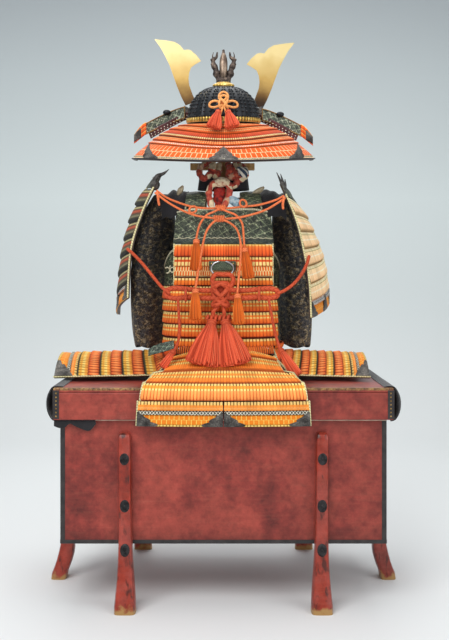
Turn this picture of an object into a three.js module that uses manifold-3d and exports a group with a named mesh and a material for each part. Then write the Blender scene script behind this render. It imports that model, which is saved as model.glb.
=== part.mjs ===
// A samurai armour (o-yoroi) set up on its wooden stand, on a red-lacquered chest with six legs.
// Millimetres, +Z up, origin on the floor under the middle of the chest.
// The armour turns its back to -Y, and +Y is the side its wearer would face.
import * as THREE from 'three';
import { mergeVertices } from 'three/addons/utils/BufferGeometryUtils.js';
import Module from 'manifold-3d';

const wasm = await Module();
wasm.setup();

// Driving sizes
const GAP = 0.4; // between pieces that touch
const BOX = { x: 430.5, y: 244.5, bottom: 167.5, top: 566, board: 12 };
const LID = { x: 447, y: 265, bottom: 496, top: 580, board: 12, edge: 4 };
const LEG = { top: 463, width: 34, foot: 58, lean: 4, out: 27, footOut: 66, footDeep: 44, at: 260 };
const BODY = { x: 171, y: 119, flat: 190, hem: 676, waist: 846, chest: 961, top: 1059, row: 5, wall: 4 };
const FRONT = { board: 985, top: 1032 };
const HELMET = { y: 10, z: 1318, tilt: 0.09, x: 103, long: 1.08, high: 104, wall: 3 };
const GUARD = { side: 264, rear: 232, sideDrop: 98, rearDrop: 108, turn: 1.75, wall: 4, row: 5 };
const SKIRT = { wall: 7, row: 4 };
const SODE = { back: -150, front: 150, swell: 12, hitch: 20, wall: 4, row: 4 };
const SLEEVE = { wall: 2, tuck: 84 };
const STAND = { post: 20, shoulder: 1098, head: 1198, crown: 1414 };

// Colours
const PAINT = {
  lacquer: { color: 0x8c3c33, roughness: 0.5 },
  legs: { color: 0xa33a2c, roughness: 0.45 },
  black: { color: 0x17161a, roughness: 0.8 },
  wood: { color: 0xd0a468, roughness: 0.6 },
  iron: { color: 0x23262b, roughness: 0.45, metalness: 0.6 },
  gold: { color: 0xd8b468, roughness: 0.35, metalness: 0.9 },
  bronze: { color: 0x4d4a4a, roughness: 0.5, metalness: 0.8 },
  lacing: { color: 0xe8833a, roughness: 0.8 },
  leather: { color: 0x38443c, roughness: 0.6 },
  brocade: { color: 0x2a2522, roughness: 0.85 },
  cord: { color: 0xd4593a, roughness: 0.75 },
  tassel: { color: 0xd9651a, roughness: 0.85 },
  quilt: { color: 0xb8443a, roughness: 0.85 },
};

const armour = new THREE.Group();
const vec = (x, y, z) => new THREE.Vector3(x, y, z);
const mix = THREE.MathUtils.lerp;

// A value read off a short table of [place, value] pairs, joined by straight lines.
function read(table, place) {
  const found = table.findIndex(([at]) => at >= place);
  const next = found < 0 ? table.length - 1 : Math.max(1, found);
  const [from, to] = [table[next - 1], table[next]];
  return mix(from[1], to[1], (place - from[0]) / (to[0] - from[0]));
}

// Turns every face round when the solid's signed volume is negative.
function facingOut(geometry) {
  const index = geometry.index.array;
  const spot = geometry.attributes.position;
  const corner = (i) => vec().fromBufferAttribute(spot, index[i]);
  let volume = 0;
  for (let i = 0; i < index.length; i += 3) volume += corner(i).dot(corner(i + 1).cross(corner(i + 2)));
  for (let i = 0; i < index.length && volume < 0; i += 3) [index[i], index[i + 1]] = [index[i + 1], index[i]];
  return geometry;
}

// A closed solid between an outer and an inner grid of points; loop joins the last column to the first.
function wall(outer, inner, loop) {
  const rows = outer.length;
  const cols = outer[0].length;
  const position = [outer, inner].flat(2).flatMap((p) => [p.x, p.y, p.z]);
  const index = [];
  const at = (sheet, i, j) => (sheet * rows + i) * cols + (j % cols);
  const quad = (a, b, c, d) => index.push(a, b, c, a, c, d);
  const last = rows - 1;
  const spans = loop ? cols : cols - 1;
  for (let j = 0; j < spans; j++) {
    for (let i = 0; i < last; i++) {
      quad(at(0, i, j), at(0, i, j + 1), at(0, i + 1, j + 1), at(0, i + 1, j));
      quad(at(1, i, j), at(1, i + 1, j), at(1, i + 1, j + 1), at(1, i, j + 1));
    }
    quad(at(0, 0, j), at(1, 0, j), at(1, 0, j + 1), at(0, 0, j + 1));
    quad(at(0, last, j), at(0, last, j + 1), at(1, last, j + 1), at(1, last, j));
  }
  for (let i = 0; i < last && !loop; i++) {
    quad(at(0, i, 0), at(0, i + 1, 0), at(1, i + 1, 0), at(1, i, 0));
    quad(at(0, i, spans), at(1, i, spans), at(1, i + 1, spans), at(0, i + 1, spans));
  }
  const geometry = new THREE.BufferGeometry();
  geometry.setAttribute('position', new THREE.Float32BufferAttribute(position, 3));
  geometry.setIndex(index);
  return facingOut(geometry);
}

// A wall laid on the surface at(u, v): each station down it is [v, how far the outer face swells].
function shell(at, across, stations, thick, { loop = false, out = 1 } = {}) {
  const step = 1e-3;
  const normal = (u, v) => {
    const side = at(u + step, v).sub(at(u - step, v));
    return at(u, v + step).sub(at(u, v - step)).cross(side).normalize().multiplyScalar(out);
  };
  const us = Array.from({ length: loop ? across : across + 1 }, (_, j) => j / across);
  const sheet = (reach) => stations.map(([v, swell]) =>
    us.map((u) => at(u, v).addScaledVector(normal(u, v), reach(swell))));
  return wall(sheet((swell) => swell), sheet(() => -thick), loop);
}

const plain = (count) => Array.from({ length: count + 1 }, (_, i) => [i / count, 0]);

// Stations down a laced panel: every row swells towards its lower edge, then steps back in.
const STEP = 0.006;
const laced = (edges, depth) => edges.slice(1).flatMap((low, i) => [[edges[i] + (i ? STEP : 0), 0], [low,
  depth]]);
const even = (rows) => Array.from({ length: rows + 1 }, (_, i) => i / rows);

// A solid skinned over a stack of flat convex rings, with both ends closed.
function loft(rings) {
  const count = rings[0].length;
  const position = rings.flat().flatMap((p) => [p.x, p.y, p.z]);
  const index = [];
  for (let i = 0; i + 1 < rings.length; i++) {
    for (let j = 0; j < count; j++) {
      const [a, b] = [i * count + j, i * count + ((j + 1) % count)];
      index.push(a, b, b + count, a, b + count, a + count);
    }
  }
  const top = (rings.length - 1) * count;
  for (let j = 1; j + 1 < count; j++) index.push(0, j + 1, j, top, top + j, top + j + 1);
  const geometry = new THREE.BufferGeometry();
  geometry.setAttribute('position', new THREE.Float32BufferAttribute(position, 3));
  geometry.setIndex(index);
  return facingOut(geometry);
}

const rectangle = (x0, x1, y0, y1, z) => [vec(x0, y0, z), vec(x1, y0, z), vec(x1, y1, z), vec(x0, y1, z)];
const oval = (x, y, z, rx, ry, count = 16) => Array.from({ length: count }, (_, j) => {
  const turn = (j / count) * 2 * Math.PI;
  return vec(x + rx * Math.cos(turn), y + ry * Math.sin(turn), z);
});
const block = (x0, x1, y0, y1, z0, z1) => loft([rectangle(x0, x1, y0, y1, z0), rectangle(x0, x1, y0, y1,
  z1)]);

// A round bar of radius thick along a smooth curve through the points.
function bar(points, thick, { sides = 8, steps = Math.round(points.length * 2.2) } = {}) {
  const section = new THREE.Shape(Array.from({ length: sides }, (_, j) => {
    const turn = (j / sides) * 2 * Math.PI;
    return new THREE.Vector2(thick * Math.cos(turn), thick * Math.sin(turn));
  }));
  const path = new THREE.CatmullRomCurve3(points.map(([x, y, z]) => vec(x, y, z)));
  return facingOut(welded(new THREE.ExtrudeGeometry(section, { steps, extrudePath: path,
    bevelEnabled: false })));
}

// A solid turned about the vertical through (x, y), from [radius, z] points.
function turned(profile, sides, x = 0, y = 0, long = 1) {
  const points = profile.map(([r, z]) => new THREE.Vector2(r, z));
  const geometry = new THREE.LatheGeometry(points, sides).rotateX(Math.PI / 2).scale(1, long, 1);
  return facingOut(welded(geometry.translate(x, y, 0)));
}

// A flat plate standing in the XZ plane: a closed outline of [x, z] points, thick mm deep from y.
function plate(outline, y, thick, smooth = false) {
  const points = outline.map(([x, z]) => new THREE.Vector2(x, z));
  const drawn = smooth ? new THREE.SplineCurve([...points, points[0]]).getPoints(points.length * 3) : points;
  const geometry = new THREE.ExtrudeGeometry(new THREE.Shape(drawn), { depth: thick, bevelEnabled: false });
  return facingOut(welded(geometry.rotateX(Math.PI / 2).translate(0, y + thick, 0)));
}

function welded(geometry) {
  const bare = geometry.clone();
  bare.deleteAttribute('normal');
  bare.deleteAttribute('uv');
  return mergeVertices(bare, 1e-3);
}

const solid = (geometry) => new wasm.Manifold(new wasm.Mesh({
  numProp: 3,
  vertProperties: new Float32Array(geometry.attributes.position.array),
  triVerts: new Uint32Array(geometry.index.array),
}));

function unsolid(shape) {
  const mesh = shape.getMesh();
  const geometry = new THREE.BufferGeometry();
  geometry.setAttribute('position', new THREE.BufferAttribute(mesh.vertProperties, 3));
  geometry.setIndex(new THREE.BufferAttribute(mesh.triVerts, 1));
  return geometry;
}

const joined = (first, ...more) => unsolid(more.reduce((sum, g) => sum.add(solid(g)), solid(first)));
const cut = (first, ...more) => unsolid(more.reduce((rest, g) => rest.subtract(solid(g)), solid(first)));

function add(name, paint, geometry, group = armour) {
  const material = new THREE.MeshStandardMaterial({ metalness: 0, ...PAINT[paint] });
  geometry.computeVertexNormals();
  const mesh = new THREE.Mesh(geometry, material);
  mesh.name = name;
  group.add(mesh);
}

// The chest: a board box, a cap lid that comes down over it, and six legs that flare to the floor
{
  const { x, y, bottom, top, board } = BOX;
  const inside = block(-x + board, x - board, -y + board, y - board, bottom + board, top + 10);
  add('chest_box', 'lacquer', cut(block(-x, x, -y, y, bottom, top), inside));
  const rim = LID;
  const cap = loft([
    rectangle(-rim.x, rim.x, -rim.y, rim.y, rim.bottom),
    rectangle(-rim.x, rim.x, -rim.y, rim.y, rim.top - rim.edge),
    rectangle(-rim.x + rim.edge, rim.x - rim.edge, -rim.y + rim.edge, rim.y - rim.edge, rim.top),
  ]);
  const [ix, iy] = [rim.x - rim.board, rim.y - rim.board];
  add('chest_lid', 'lacquer', cut(cap, block(-ix, ix, -iy, iy, rim.bottom - 10, rim.top - rim.board)));
}

// One leg: rings from its rounded top to its foot. away is how far it stands out from the box wall.
function leg(place) {
  const stations = [[1, 0.62, 0.55], [0.985, 0.9, 0.85], [0.95, 1, 1], [0.55, 1.04, 1.06], [0.36, 1.12, 1.15],
    [0.2, 1.32, 1.5], [0.08, 1.6, 2.05], [0, LEG.foot / LEG.width, LEG.footOut / LEG.out]];
  return loft(stations.map(([high, wide, out]) => {
    const half = (LEG.width * wide) / 2;
    const back = Math.max(0, LEG.out * out - (high < 0.4 ? LEG.footDeep : LEG.out * out));
    return place(half, GAP + back, GAP + LEG.out * out, LEG.top * high);
  }));
}
for (const [name, side] of [['left', -1], ['right', 1]]) {
  for (const [face, way] of [['front', -1], ['rear', 1]]) {
    add(`chest_leg_${face}_${name}`, 'legs', leg((half, near, far, z) => {
      const x = side * (LEG.at - LEG.lean * (1 - z / LEG.top));
      return [vec(x - half, way * (BOX.y + near), z), vec(x + half, way * (BOX.y + near), z),
        vec(x + half * 0.9, way * (BOX.y + far), z), vec(x - half * 0.9, way * (BOX.y + far), z)];
    }));
  }
  add(`chest_leg_side_${name}`, 'legs', leg((half, near, far, z) => [
    vec(side * (BOX.x + near), -half, z), vec(side * (BOX.x + near), half, z),
    vec(side * (BOX.x + far), half * 0.9, z), vec(side * (BOX.x + far), -half * 0.9, z)]));
}

// Black cloth laid over each end of the lid, hanging in a soft roll down the end board
const CLOTH = [[0, 424, 582.6], [0.16, 446, 583], [0.28, 456, 576], [0.5, 467, 551], [0.72, 466, 520],
  [0.88, 455, 497],
  [1, 442, 490]];
for (const [name, side] of [['left', -1], ['right', 1]]) {
  const x = CLOTH.map(([v, cx]) => [v, cx]);
  const z = CLOTH.map(([v, , cz]) => [v, cz]);
  add(`chest_cloth_${name}`, 'black', shell((u, v) => {
    const fold = 1 + 0.006 * Math.sin(u * 19) * Math.sin(v * Math.PI);
    return vec(side * read(x, v) * fold, mix(-252, 252, u), read(z, v));
  }, 8, CLOTH.map(([v]) => [v, 0]), 2, { out: side }));
}

// The stand: a post on a foot board, with a shoulder bar and a head bar, that carries body and helmet
{
  const half = STAND.post / 2;
  const foot = block(-110, 110, -80, 80, LID.top + GAP, LID.top + 22);
  const post = block(-half, half, -half, half, LID.top + 10, STAND.crown - 24);
  const knob = turned([[0, STAND.crown - 40], [24, STAND.crown - 40], [34, STAND.crown - 22], [26,
    STAND.crown - 8],
    [0, STAND.crown]], 16, 0, HELMET.y);
  const shoulders = block(-136, 136, -15, 15, STAND.shoulder - 12, STAND.shoulder);
  const head = block(-96, 90, -9, 9, STAND.head - 20, STAND.head);
  add('stand', 'wood', joined(foot, post, knob, shoulders, head));
}

// The body outline at a turn about the vertical: 0 is the middle of the back, a quarter turn the +X side.
function outline(turn, x, y, z, power = 2.6) {
  const reach = (Math.abs(Math.sin(turn) / x) ** power + Math.abs(Math.cos(turn) / y) ** power) ** (-1 / power);
  return vec(reach * Math.sin(turn), -reach * Math.cos(turn), z);
}

// The body: a laced wrap that goes round back, left side and front, and the boards above it
{
  const { x, y, flat, hem, waist, chest, top, row, wall: thick } = BODY;
  const [from, to] = [1.12, -1.12 - Math.PI * 0.63 - 0.86];
  const wrap = (u, v) => outline(mix(from, to, u), x, y + 3 * v, mix(waist, hem, v));
  add('body_wrap', 'lacing', shell(wrap, 26, laced(even(4), row), thick, { out: -1 }));

  const edge = 0.96; // where the back panel ends, beside the armholes
  const back = (u, v) => outline(mix(-edge, edge, u), flat, y, mix(chest, waist + GAP, v));
  add('back_rows', 'lacing', shell(back, 10, laced([0, 0.3, 0.66, 1], row), thick));

  const board = (u, v) => {
    const side = 2 * u - 1;
    const high = mix(top - 14 * Math.max(0, Math.abs(side) - 0.72) ** 1.2 * 2.5, chest + 1.2, v);
    return outline(side * (edge + 0.02), flat, mix(y - 11, y, v), high);
  };
  add('back_board', 'leather', shell(board, 10, plain(2), 5));

  const half = Math.PI / 2;
  const under = (sign) => (u, v) => {
    const dip = 52 * Math.abs(Math.sin(u * Math.PI)) ** 1.5;
    return outline(sign * mix(half - 0.56, half + 0.56, u), x - 1, y, mix(chest - 14 - dip, waist + GAP, v));
  };
  add('under_arm_board', 'leather', shell(under(-1), 10, plain(1), 4, { out: -1 }));
  const plateAt = (u, v) => {
    const dip = 52 * Math.abs(Math.sin(u * Math.PI)) ** 1.5;
    const turn = half + (u - 0.5) * mix(1.12, 1.5, Math.min(1, v * 2.5));
    return outline(turn, x - 2 * thick - 1, y - 2 * thick - 1, mix(chest - 14 - dip, hem + 6, v));
  };
  add('side_plate', 'leather', shell(plateAt, 10, plain(3), 3));

  const leatherTop = FRONT.board;
  const leather = (u, v) =>
    outline(Math.PI + (u - 0.5) * mix(1.72, 1.4, v), mix(flat, x, v), y + 15, mix(leatherTop - 3, hem + 14,
      v));
  add('front_leather', 'leather', shell(leather, 10, plain(3), 3));
  const chestBoard = (u, v) => outline(Math.PI + (u - 0.5) * mix(1.5, 1.72, v), flat, mix(y + 2, y + 15, v),
    mix(FRONT.top, leatherTop, v));
  add('front_board', 'leather', shell(chestBoard, 10, plain(1), 5));

  // Shoulder straps: padded leather bands from the back board over the shoulder bar to the front board
  const run = new THREE.CatmullRomCurve3([[-106, 1066], [-96, 1086], [-62, 1104], [0, 1111], [62, 1104],
    [104, 1078],
    [118, 1040]].map(([sy, sz]) => vec(0, sy, sz)));
  for (const [name, side] of [['left', -1], ['right', 1]]) {
    const strap = (u, v) => {
      const at = run.getPoint(THREE.MathUtils.clamp(v, 0, 1));
      return vec(side * (mix(54, 108, u) - 6 * Math.sin(v * Math.PI)), at.y, at.z - 3 * (2 * u - 1) ** 2);
    };
    const stations = Array.from({ length: 9 }, (_, i) => [mix(0.004, 0.996, i / 8), 5]);
    add(`shoulder_strap_${name}`, 'leather', shell(strap, 4, stations, 5, { out: side }));
  }

  // The ring plate in the middle of the back, and the ring that the big bow hangs from
  const face = -(y + row + 2);
  const screen = loft([face, face - 4].map((sy) => [[-40, 888], [34, 888], [36, 915], [-42, 915]]
    .map(([sx, sz]) => vec(sx, sy, sz))));
  add('ring_plate', 'bronze', screen);
  const ring = Array.from({ length: 13 }, (_, i) => {
    const turn = mix(0.35, 2 * Math.PI - 0.35, i / 12);
    return [-3 + 31 * Math.sin(turn), face - 8, 893 + 21 * Math.cos(turn)];
  });
  add('body_ring', 'iron', bar(ring, 2.2, { sides: 6, steps: 20 }));
}

// Skirt panels. The rear one slopes out to the lid's edge and hangs over it; the front one matches it.
const SLOPE = new THREE.CatmullRomCurve3([[-122, 673], [-134, 656], [-176, 632], [-222, 610], [-262, 595],
  [-280, 585],
  [-287, 562], [-289, 520], [-289, 482]].map(([y, z]) => vec(0, y, z)));
const SKIRT_SIDES = [[0, 140], [0.13, 149], [0.3, 160], [0.315, 188], [0.53, 203], [0.545, 209], [0.79, 217],
  [0.8, 223], [1, 226]];
function hanging(way, x0, x1) {
  return (u, v) => {
    const at = SLOPE.getPoint(THREE.MathUtils.clamp(v, 0, 1));
    const side = mix(x0, x1, u);
    const drop = 26 * side ** 2 * Math.max(0, 1 - v / 0.5);
    return vec(side * read(SKIRT_SIDES, THREE.MathUtils.clamp(v, 0, 1)), way * at.y,
      at.z - drop + 2 * side ** 2);
  };
}
{
  const { wall: thick, row } = SKIRT;
  const rows = [0.002, 0.13, 0.305, 0.54, 0.79];
  const stations = laced(rows, row);
  add('skirt_rear', 'lacing', shell(hanging(1, -1, 1), 12, stations, thick, {}));
  const last = laced([0.797, 0.998], row);
  add('skirt_rear_foot_left', 'lacing', shell(hanging(1, -1, -0.005), 6, last, thick));
  add('skirt_rear_foot_right', 'lacing', shell(hanging(1, 0.005, 1), 6, last, thick));
  add('skirt_front', 'lacing', shell(hanging(-1, -1, 1), 12, laced([...rows, 0.998], row), thick,
    { out: -1 }));
}

// The side skirts lie along the lid as long arches, their inner ends hung from the body's hem.
function arched(side, reach) {
  const x = [[0, 160], [0.08, 171], [0.22, 205], [1, reach]];
  const half = [[0, 78], [0.08, 88], [0.22, 106], [1, 132]];
  const crown = [[0, 672], [0.08, 657], [0.22, 654], [1, 646]];
  const fall = [[0, 2], [0.08, 20], [0.22, 58], [1, 52]];
  return (u, v) => {
    const s = 2 * u - 1;
    const spot = THREE.MathUtils.clamp(v, 0, 1);
    return vec(side * (read(x, spot) - 22 * s ** 2 * (1 - spot)), s * read(half, spot),
      read(crown, spot) - read(fall, spot) * Math.abs(s) ** 2.2);
  };
}
for (const [name, side, reach] of [['left', -1, 468], ['right', 1, 404]]) {
  const rows = laced([0.002, 0.13, 0.3, 0.475, 0.65, 0.825, 0.998], SKIRT.row);
  add(`skirt_${name}`, 'lacing', shell(arched(side, reach), 10, rows, 6, { out: side }));
}

// Shoulder guards: each hangs from the shoulder, its back edge nearer the body than its front edge
const GUARDS = {
  left: {
    side: -1,
    back: [[1140, 176], [1114, 191], [1030, 228], [957, 250], [870, 259], [812, 261]],
    front: [[1160, 214], [1139, 231], [1050, 276], [965, 298], [870, 312], [752, 319]],
  },
  right: {
    side: 1,
    back: [[1122, 158], [1095, 170], [1029, 197], [935, 220], [870, 232], [757, 239]],
    front: [[1098, 202], [1070, 228], [968, 280], [882, 308], [830, 316], [788, 317]],
  },
};
function guardAt({ side, back, front }) {
  const down = (table, v) => {
    const z = mix(table[1][0], table.at(-1)[0], v);
    return [read([...table].reverse(), z), z];
  };
  return (u, v) => {
    const [[x0, z0], [x1, z1]] = [down(back, v), down(front, v)];
    const swell = SODE.swell * (1 - (2 * u - 1) ** 2);
    const hitch = SODE.hitch * Math.max(0, side) * u * Math.sin(Math.PI * THREE.MathUtils.clamp(v, 0, 1));
    return vec(side * (mix(x0, x1, u) + swell), mix(SODE.back, SODE.front, u), mix(z0, z1, u) + hitch);
  };
}
for (const [name, guard] of Object.entries(GUARDS)) {
  const at = guardAt(guard);
  const rows = laced(even(7).map((v) => mix(0.004, 0.998, v)), SODE.row);
  add(`shoulder_guard_${name}`, 'lacing', shell(at, 6, rows, SODE.wall, { out: guard.side }));
  const crown = shell(at, 6, [[-0.085, 1], [-0.04, 2], [-0.004, 2]], 5, { out: guard.side });
  const root = at(0.06, -0.07);
  const lean = guard.side;
  const spur = loft([[0, 9, 4], [14, 8, 3.4], [26, 5, 2.6], [36, 1, 1]].map(([up, wide, deep], i) =>
    oval(root.x - lean * i * i * 2.6, root.y - 1, root.z + up - 4, wide, deep, 8)));
  add(`shoulder_guard_${name}_board`, 'leather', joined(crown, spur));
}

// Brocade sleeves, hung beside the body with open shoulders and cuffs
// Each line is [height, inner edge, outer edge]; below the arm the inner edge is tucked in behind the body.
const SLEEVES = {
  left: [-1, [[1106, 142, 202], [1060, 142, 230], [985, 143, 256], [940, 147, 266], [912, 156, 268], [893,
    171, 269],
    [870, 177, 270], [850, 178, 270], [760, 178, 268], [705, 178, 264], [666, 178, 258]]],
  right: [1, [[1096, 142, 190], [1050, 142, 210], [985, 143, 230], [940, 146, 244], [912, 153, 249], [893,
    161, 251],
    [870, 164, 253], [850, 164, 254], [760, 164, 257], [705, 164, 255], [666, 165, 252]]],
};
const SLEEVE_DEEP = [[0, 40], [0.1, 54], [0.27, 62], [0.6, 60], [0.9, 50], [1, 46]];
for (const [name, [side, table]] of Object.entries(SLEEVES)) {
  const column = (i) => table.map((line, row) => [row / (table.length - 1), line[i]]);
  const [height, inner, outer] = [column(0), column(1), column(2)];
  const at = (u, v) => {
    const spot = THREE.MathUtils.clamp(v, 0, 1);
    const [near, far] = [read(inner, spot), read(outer, spot)];
    const turn = u * 2 * Math.PI;
    const crease = 1 + 0.03 * Math.sin(v * 21 + 1) * Math.sin(turn) ** 2;
    const tuck = SLEEVE.tuck * THREE.MathUtils.smoothstep(v, 0.05, 0.3) * (0.5 - 0.5 * Math.cos(turn));
    const y = mix(2, 20, Math.min(1, v * 3)) + read(SLEEVE_DEEP, spot) * Math.sin(turn) * crease + tuck;
    return vec(side * (mix(near, far, 0.5) + ((far - near) / 2) * Math.cos(turn)), y, read(height, spot));
  };
  add(`sleeve_${name}`, 'brocade', shell(at, 18, plain(10), SLEEVE.wall, { loop: true, out: side }));
}

// The collar stands round the neck, above the straps
{
  const at = (u, v) => {
    const turn = u * 2 * Math.PI;
    const z = mix(1158 - 8 * Math.cos(turn), 1119.5, v);
    return vec((70 + 5 * v) * Math.sin(turn), -4 - (46 + 4 * v) * Math.cos(turn), z);
  };
  add('collar', 'brocade', shell(at, 16, plain(2), 3, { loop: true, out: 1 }));
}

// The helmet: a ribbed bowl with its fittings, tilted back a little on the stand
const helmet = new THREE.Group();
helmet.position.set(0, HELMET.y, HELMET.z);
helmet.rotation.x = HELMET.tilt;
armour.add(helmet);
{
  const { x, long, high, wall: thick } = HELMET;
  const dome = (r, h, turnAt) => [r * Math.cos(turnAt) ** 0.87, h * Math.sin(turnAt) ** 0.87];
  const quarter = Array.from({ length: 7 }, (_, i) => (i / 6) * (Math.PI / 2) * 0.86);
  const outer = quarter.map((t) => dome(x, high, t));
  const inner = quarter.map((t) => dome(x - thick, high - thick, t)).reverse();
  add('helmet_bowl', 'iron', turned([...outer, [0, outer.at(-1)[1] + 0.5], [0, inner[0][1]], ...inner,
    outer[0]],
    24, 0, 0, long), helmet);
  const crown = outer.at(-1)[1] + 1.2;
  add('helmet_top_ring', 'gold', turned([[12, crown], [29, crown], [27, crown + 6], [20, crown + 11], [13,
    crown + 12],
    [12, crown]], 16), helmet);
  const rim = [[x + 1.2, -2], [x + 5, -2], [x + 3.4, 9], [x + 1.4, 9], [x + 1.2, -2]];
  add('helmet_band', 'gold', turned(rim, 24, 0, 0, long), helmet);

  // Neck guard: five laced rows that spread like a broad hat brim round the back and sides
  const { side, rear, sideDrop, rearDrop, turn, row } = GUARD;
  const brim = (u, v) => {
    const angle = mix(-turn, turn, u);
    const flank = Math.sin(angle) ** 2;
    const reach = mix(x + 4, mix(rear, side, flank), v);
    const drop = mix(rearDrop, sideDrop, flank) * Math.max(v, 0) ** mix(1.05, 1.7, flank);
    const oblong = mix(long, 1, v);
    return vec(reach * Math.sin(angle), -reach * oblong * Math.cos(angle), -9 - drop);
  };
  add('neck_guard', 'lacing', shell(brim, 24, laced([0.002, 0.17, 0.35, 0.52, 0.72, 0.998], row), GUARD.wall),
    helmet);

  // Visor over the brow, on the far side
  const visor = (u, v) => {
    const angle = Math.PI + mix(-1.05, 1.05, u);
    const reach = x + 6 + 46 * v;
    const drop = 5 + 22 * v + 10 * v * Math.sin(angle) ** 2;
    return vec(reach * Math.sin(angle), -reach * long * Math.cos(angle), -drop);
  };
  add('helmet_visor', 'leather', shell(visor, 12, plain(2), 3), helmet);
}

// Turn-backs: the neck guard's front ends, folded out like wings beside the brow
const WINGS = { left: -1, right: 1 };
for (const [name, side] of Object.entries(WINGS)) {
  const at = (u, v) => {
    const top = 1376 - 53 * Math.max(0, u) ** 1.35 - (side > 0 ? 6 : 0);
    const low = 1349 - 45 * u + 5 * Math.sin(u * Math.PI);
    return vec(side * mix(116, 231, u), 88 - 20 * u + 8 * Math.sin(u * Math.PI), mix(top, low, v));
  };
  add(`turn_back_${name}`, 'leather', shell(at, 8, plain(2), 4, { out: side }));
}

// Horns and crest, standing on a socket plate at the brow
const HORN = [[-84, 1400], [-94, 1422], [-104, 1450], [-106, 1469], [-104, 1488], [-98, 1504], [-84, 1514],
  [-68, 1523],
  [-82, 1541], [-98, 1555], [-109, 1558], [-120, 1556], [-132, 1571], [-148, 1581], [-178, 1586], [-208,
    1589],
  [-190, 1562], [-176, 1536], [-164, 1511], [-153, 1480], [-141, 1446], [-128, 1414], [-115, 1388]];
{
  const brow = HELMET.y + HELMET.x * HELMET.long + 12;
  add('horn_left', 'gold', plate(HORN, brow, 2));
  add('horn_right', 'gold', plate(HORN.map(([x, z]) => [-x * 1.03, z - 10]), brow, 2));
  const socket = (u, v) => {
    const s = 2 * u - 1;
    const arch = 1 - s ** 2;
    return vec(s * 118, brow - 7 - 22 * s ** 2, mix(1384 - 26 * arch, 1352 - 8 * arch, v));
  };
  add('horn_socket', 'bronze', shell(socket, 10, plain(1), 4, { out: 1 }));
  const blade = plate([[-6, 1362], [6, 1362], [7, 1440], [14, 1470], [12, 1500], [0, 1556], [-12, 1500],
    [-14, 1470], [-7, 1440]], brow - 1, 5);
  const prong = (way) => bar([[way * 6, brow + 1, 1468], [way * 22, brow + 1, 1470], [way * 34, brow + 1,
    1486],
    [way * 33, brow + 1, 1508], [way * 22, brow + 1, 1524]], 4.5, { sides: 8, steps: 10 });
  add('crest', 'bronze', joined(blade, prong(1), prong(-1)));
}

// A tassel: a bound head over a skirt of threads, hanging from a point.
function tassel([x, y, z], [headX, headY], [skirtX, skirtY], long, lean = 0) {
  const ring = (down, wide, rx, ry) => oval(x, y + lean * down, z - down * long, rx * wide, ry * wide, 10);
  return loft([[0, 0.3], [0.05, 0.8], [0.14, 1], [0.22, 0.8]].map(([down, wide]) => ring(down, wide, headX,
    headY))
    .concat([[0.5, 0.75], [1, 1]].map(([down, wide]) => ring(down, wide, skirtX, skirtY))));
}

// Small bow on the back of the bowl
{
  const loops = [
    [[0, -106, 1360], [-14, -107, 1368], [-33, -104, 1365], [-39, -103, 1357], [-28, -107, 1349], [-8,
      -110, 1354]],
    [[0, -106, 1360], [14, -107, 1368], [33, -104, 1365], [39, -103, 1357], [28, -107, 1349], [8, -110,
      1354]],
    [[-3, -107, 1358], [-8, -102, 1374], [-3, -93, 1392], [4, -93, 1392], [9, -102, 1374], [4, -107, 1358]],
  ].map((points) => bar(points, 3, { sides: 6 }));
  const knot = loft([oval(0, -107, 1351, 7, 5, 10), oval(0, -107, 1362, 9, 6, 10), oval(0, -106, 1370, 6,
    4, 10)]);
  add('helmet_bow', 'cord', joined(knot, ...loops));
  add('helmet_tassels', 'cord', joined(tassel([-12, -117, 1345], [11, 7], [20, 9], 56, -36),
    tassel([9, -117, 1344], [11, 7], [20, 9], 52, -34)));
}

// Neck cord: quilted tubes looped over the head bar, hanging in front of the collar
{
  const tubes = [
    [[-50, -22, 1192], [-62, -44, 1172], [-52, -60, 1150], [-30, -62, 1152], [-14, -50, 1172], [-16, -22,
      1192]],
    [[52, -22, 1190], [62, -44, 1168], [50, -60, 1148], [28, -62, 1152], [16, -50, 1172], [18, -22, 1192]],
    [[-34, -98, 1070], [-34, -92, 1096], [-28, -80, 1126], [-10, -72, 1150], [8, -72, 1152],
      [22, -78, 1130], [26, -90, 1104], [16, -97, 1082], [4, -100, 1070]],
  ].map((points) => bar(points, 10));
  const knot = loft([oval(0, -66, 1136, 12, 10), oval(0, -66, 1152, 24, 14), oval(0, -60, 1168, 16, 12)]);
  add('neck_cord', 'quilt', joined(knot, ...tubes));
  add('neck_cloth', 'quilt', loft([[1066, 5], [1080, 10], [1100, 12], [1120, 8], [1126, 4]].map(([z, r]) =>
    oval(-7, mix(-84, -72, (z - 1066) / 60), z, r, r * 0.8, 10))));
}

// Cords from the shoulder guards: two across the back, each with tails that end in tassels
const CORD_TOP_A = [[-182, -153, 1106], [-160, -152, 1090], [-120, -142, 1074], [-80, -132, 1064], [-40,
  -131, 1060],
  [0, -134, 1059], [40, -131, 1060], [80, -132, 1064], [120, -142, 1071], [150, -152, 1084], [164, -153,
    1092]];
const CORD_TOP_B = [[-186, -156, 1100], [-160, -160, 1080], [-120, -156, 1056], [-80, -150, 1040], [-40,
  -146, 1031],
  [0, -145, 1028], [40, -146, 1031], [80, -150, 1042], [120, -156, 1056], [150, -160, 1074], [168, -156,
    1086]];
const TAIL_A = [[-74, -144, 975], [-70, -143, 1000], [-62, -141, 1024], [-44, -140, 1042], [-16, -142, 1052],
  [16, -142, 1052], [36, -140, 1042], [50, -141, 1022], [54, -143, 990], [57, -144, 951]];
const TAIL_B = [[-76, -166, 839], [-70, -160, 880], [-62, -156, 930], [-54, -155, 980], [-44, -155, 1010],
  [-26, -155, 1022], [0, -156, 1022], [24, -155, 1022], [42, -155, 1010], [48, -155, 980], [48, -156, 930],
    [42, -160, 875],
  [38, -166, 824]];
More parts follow.
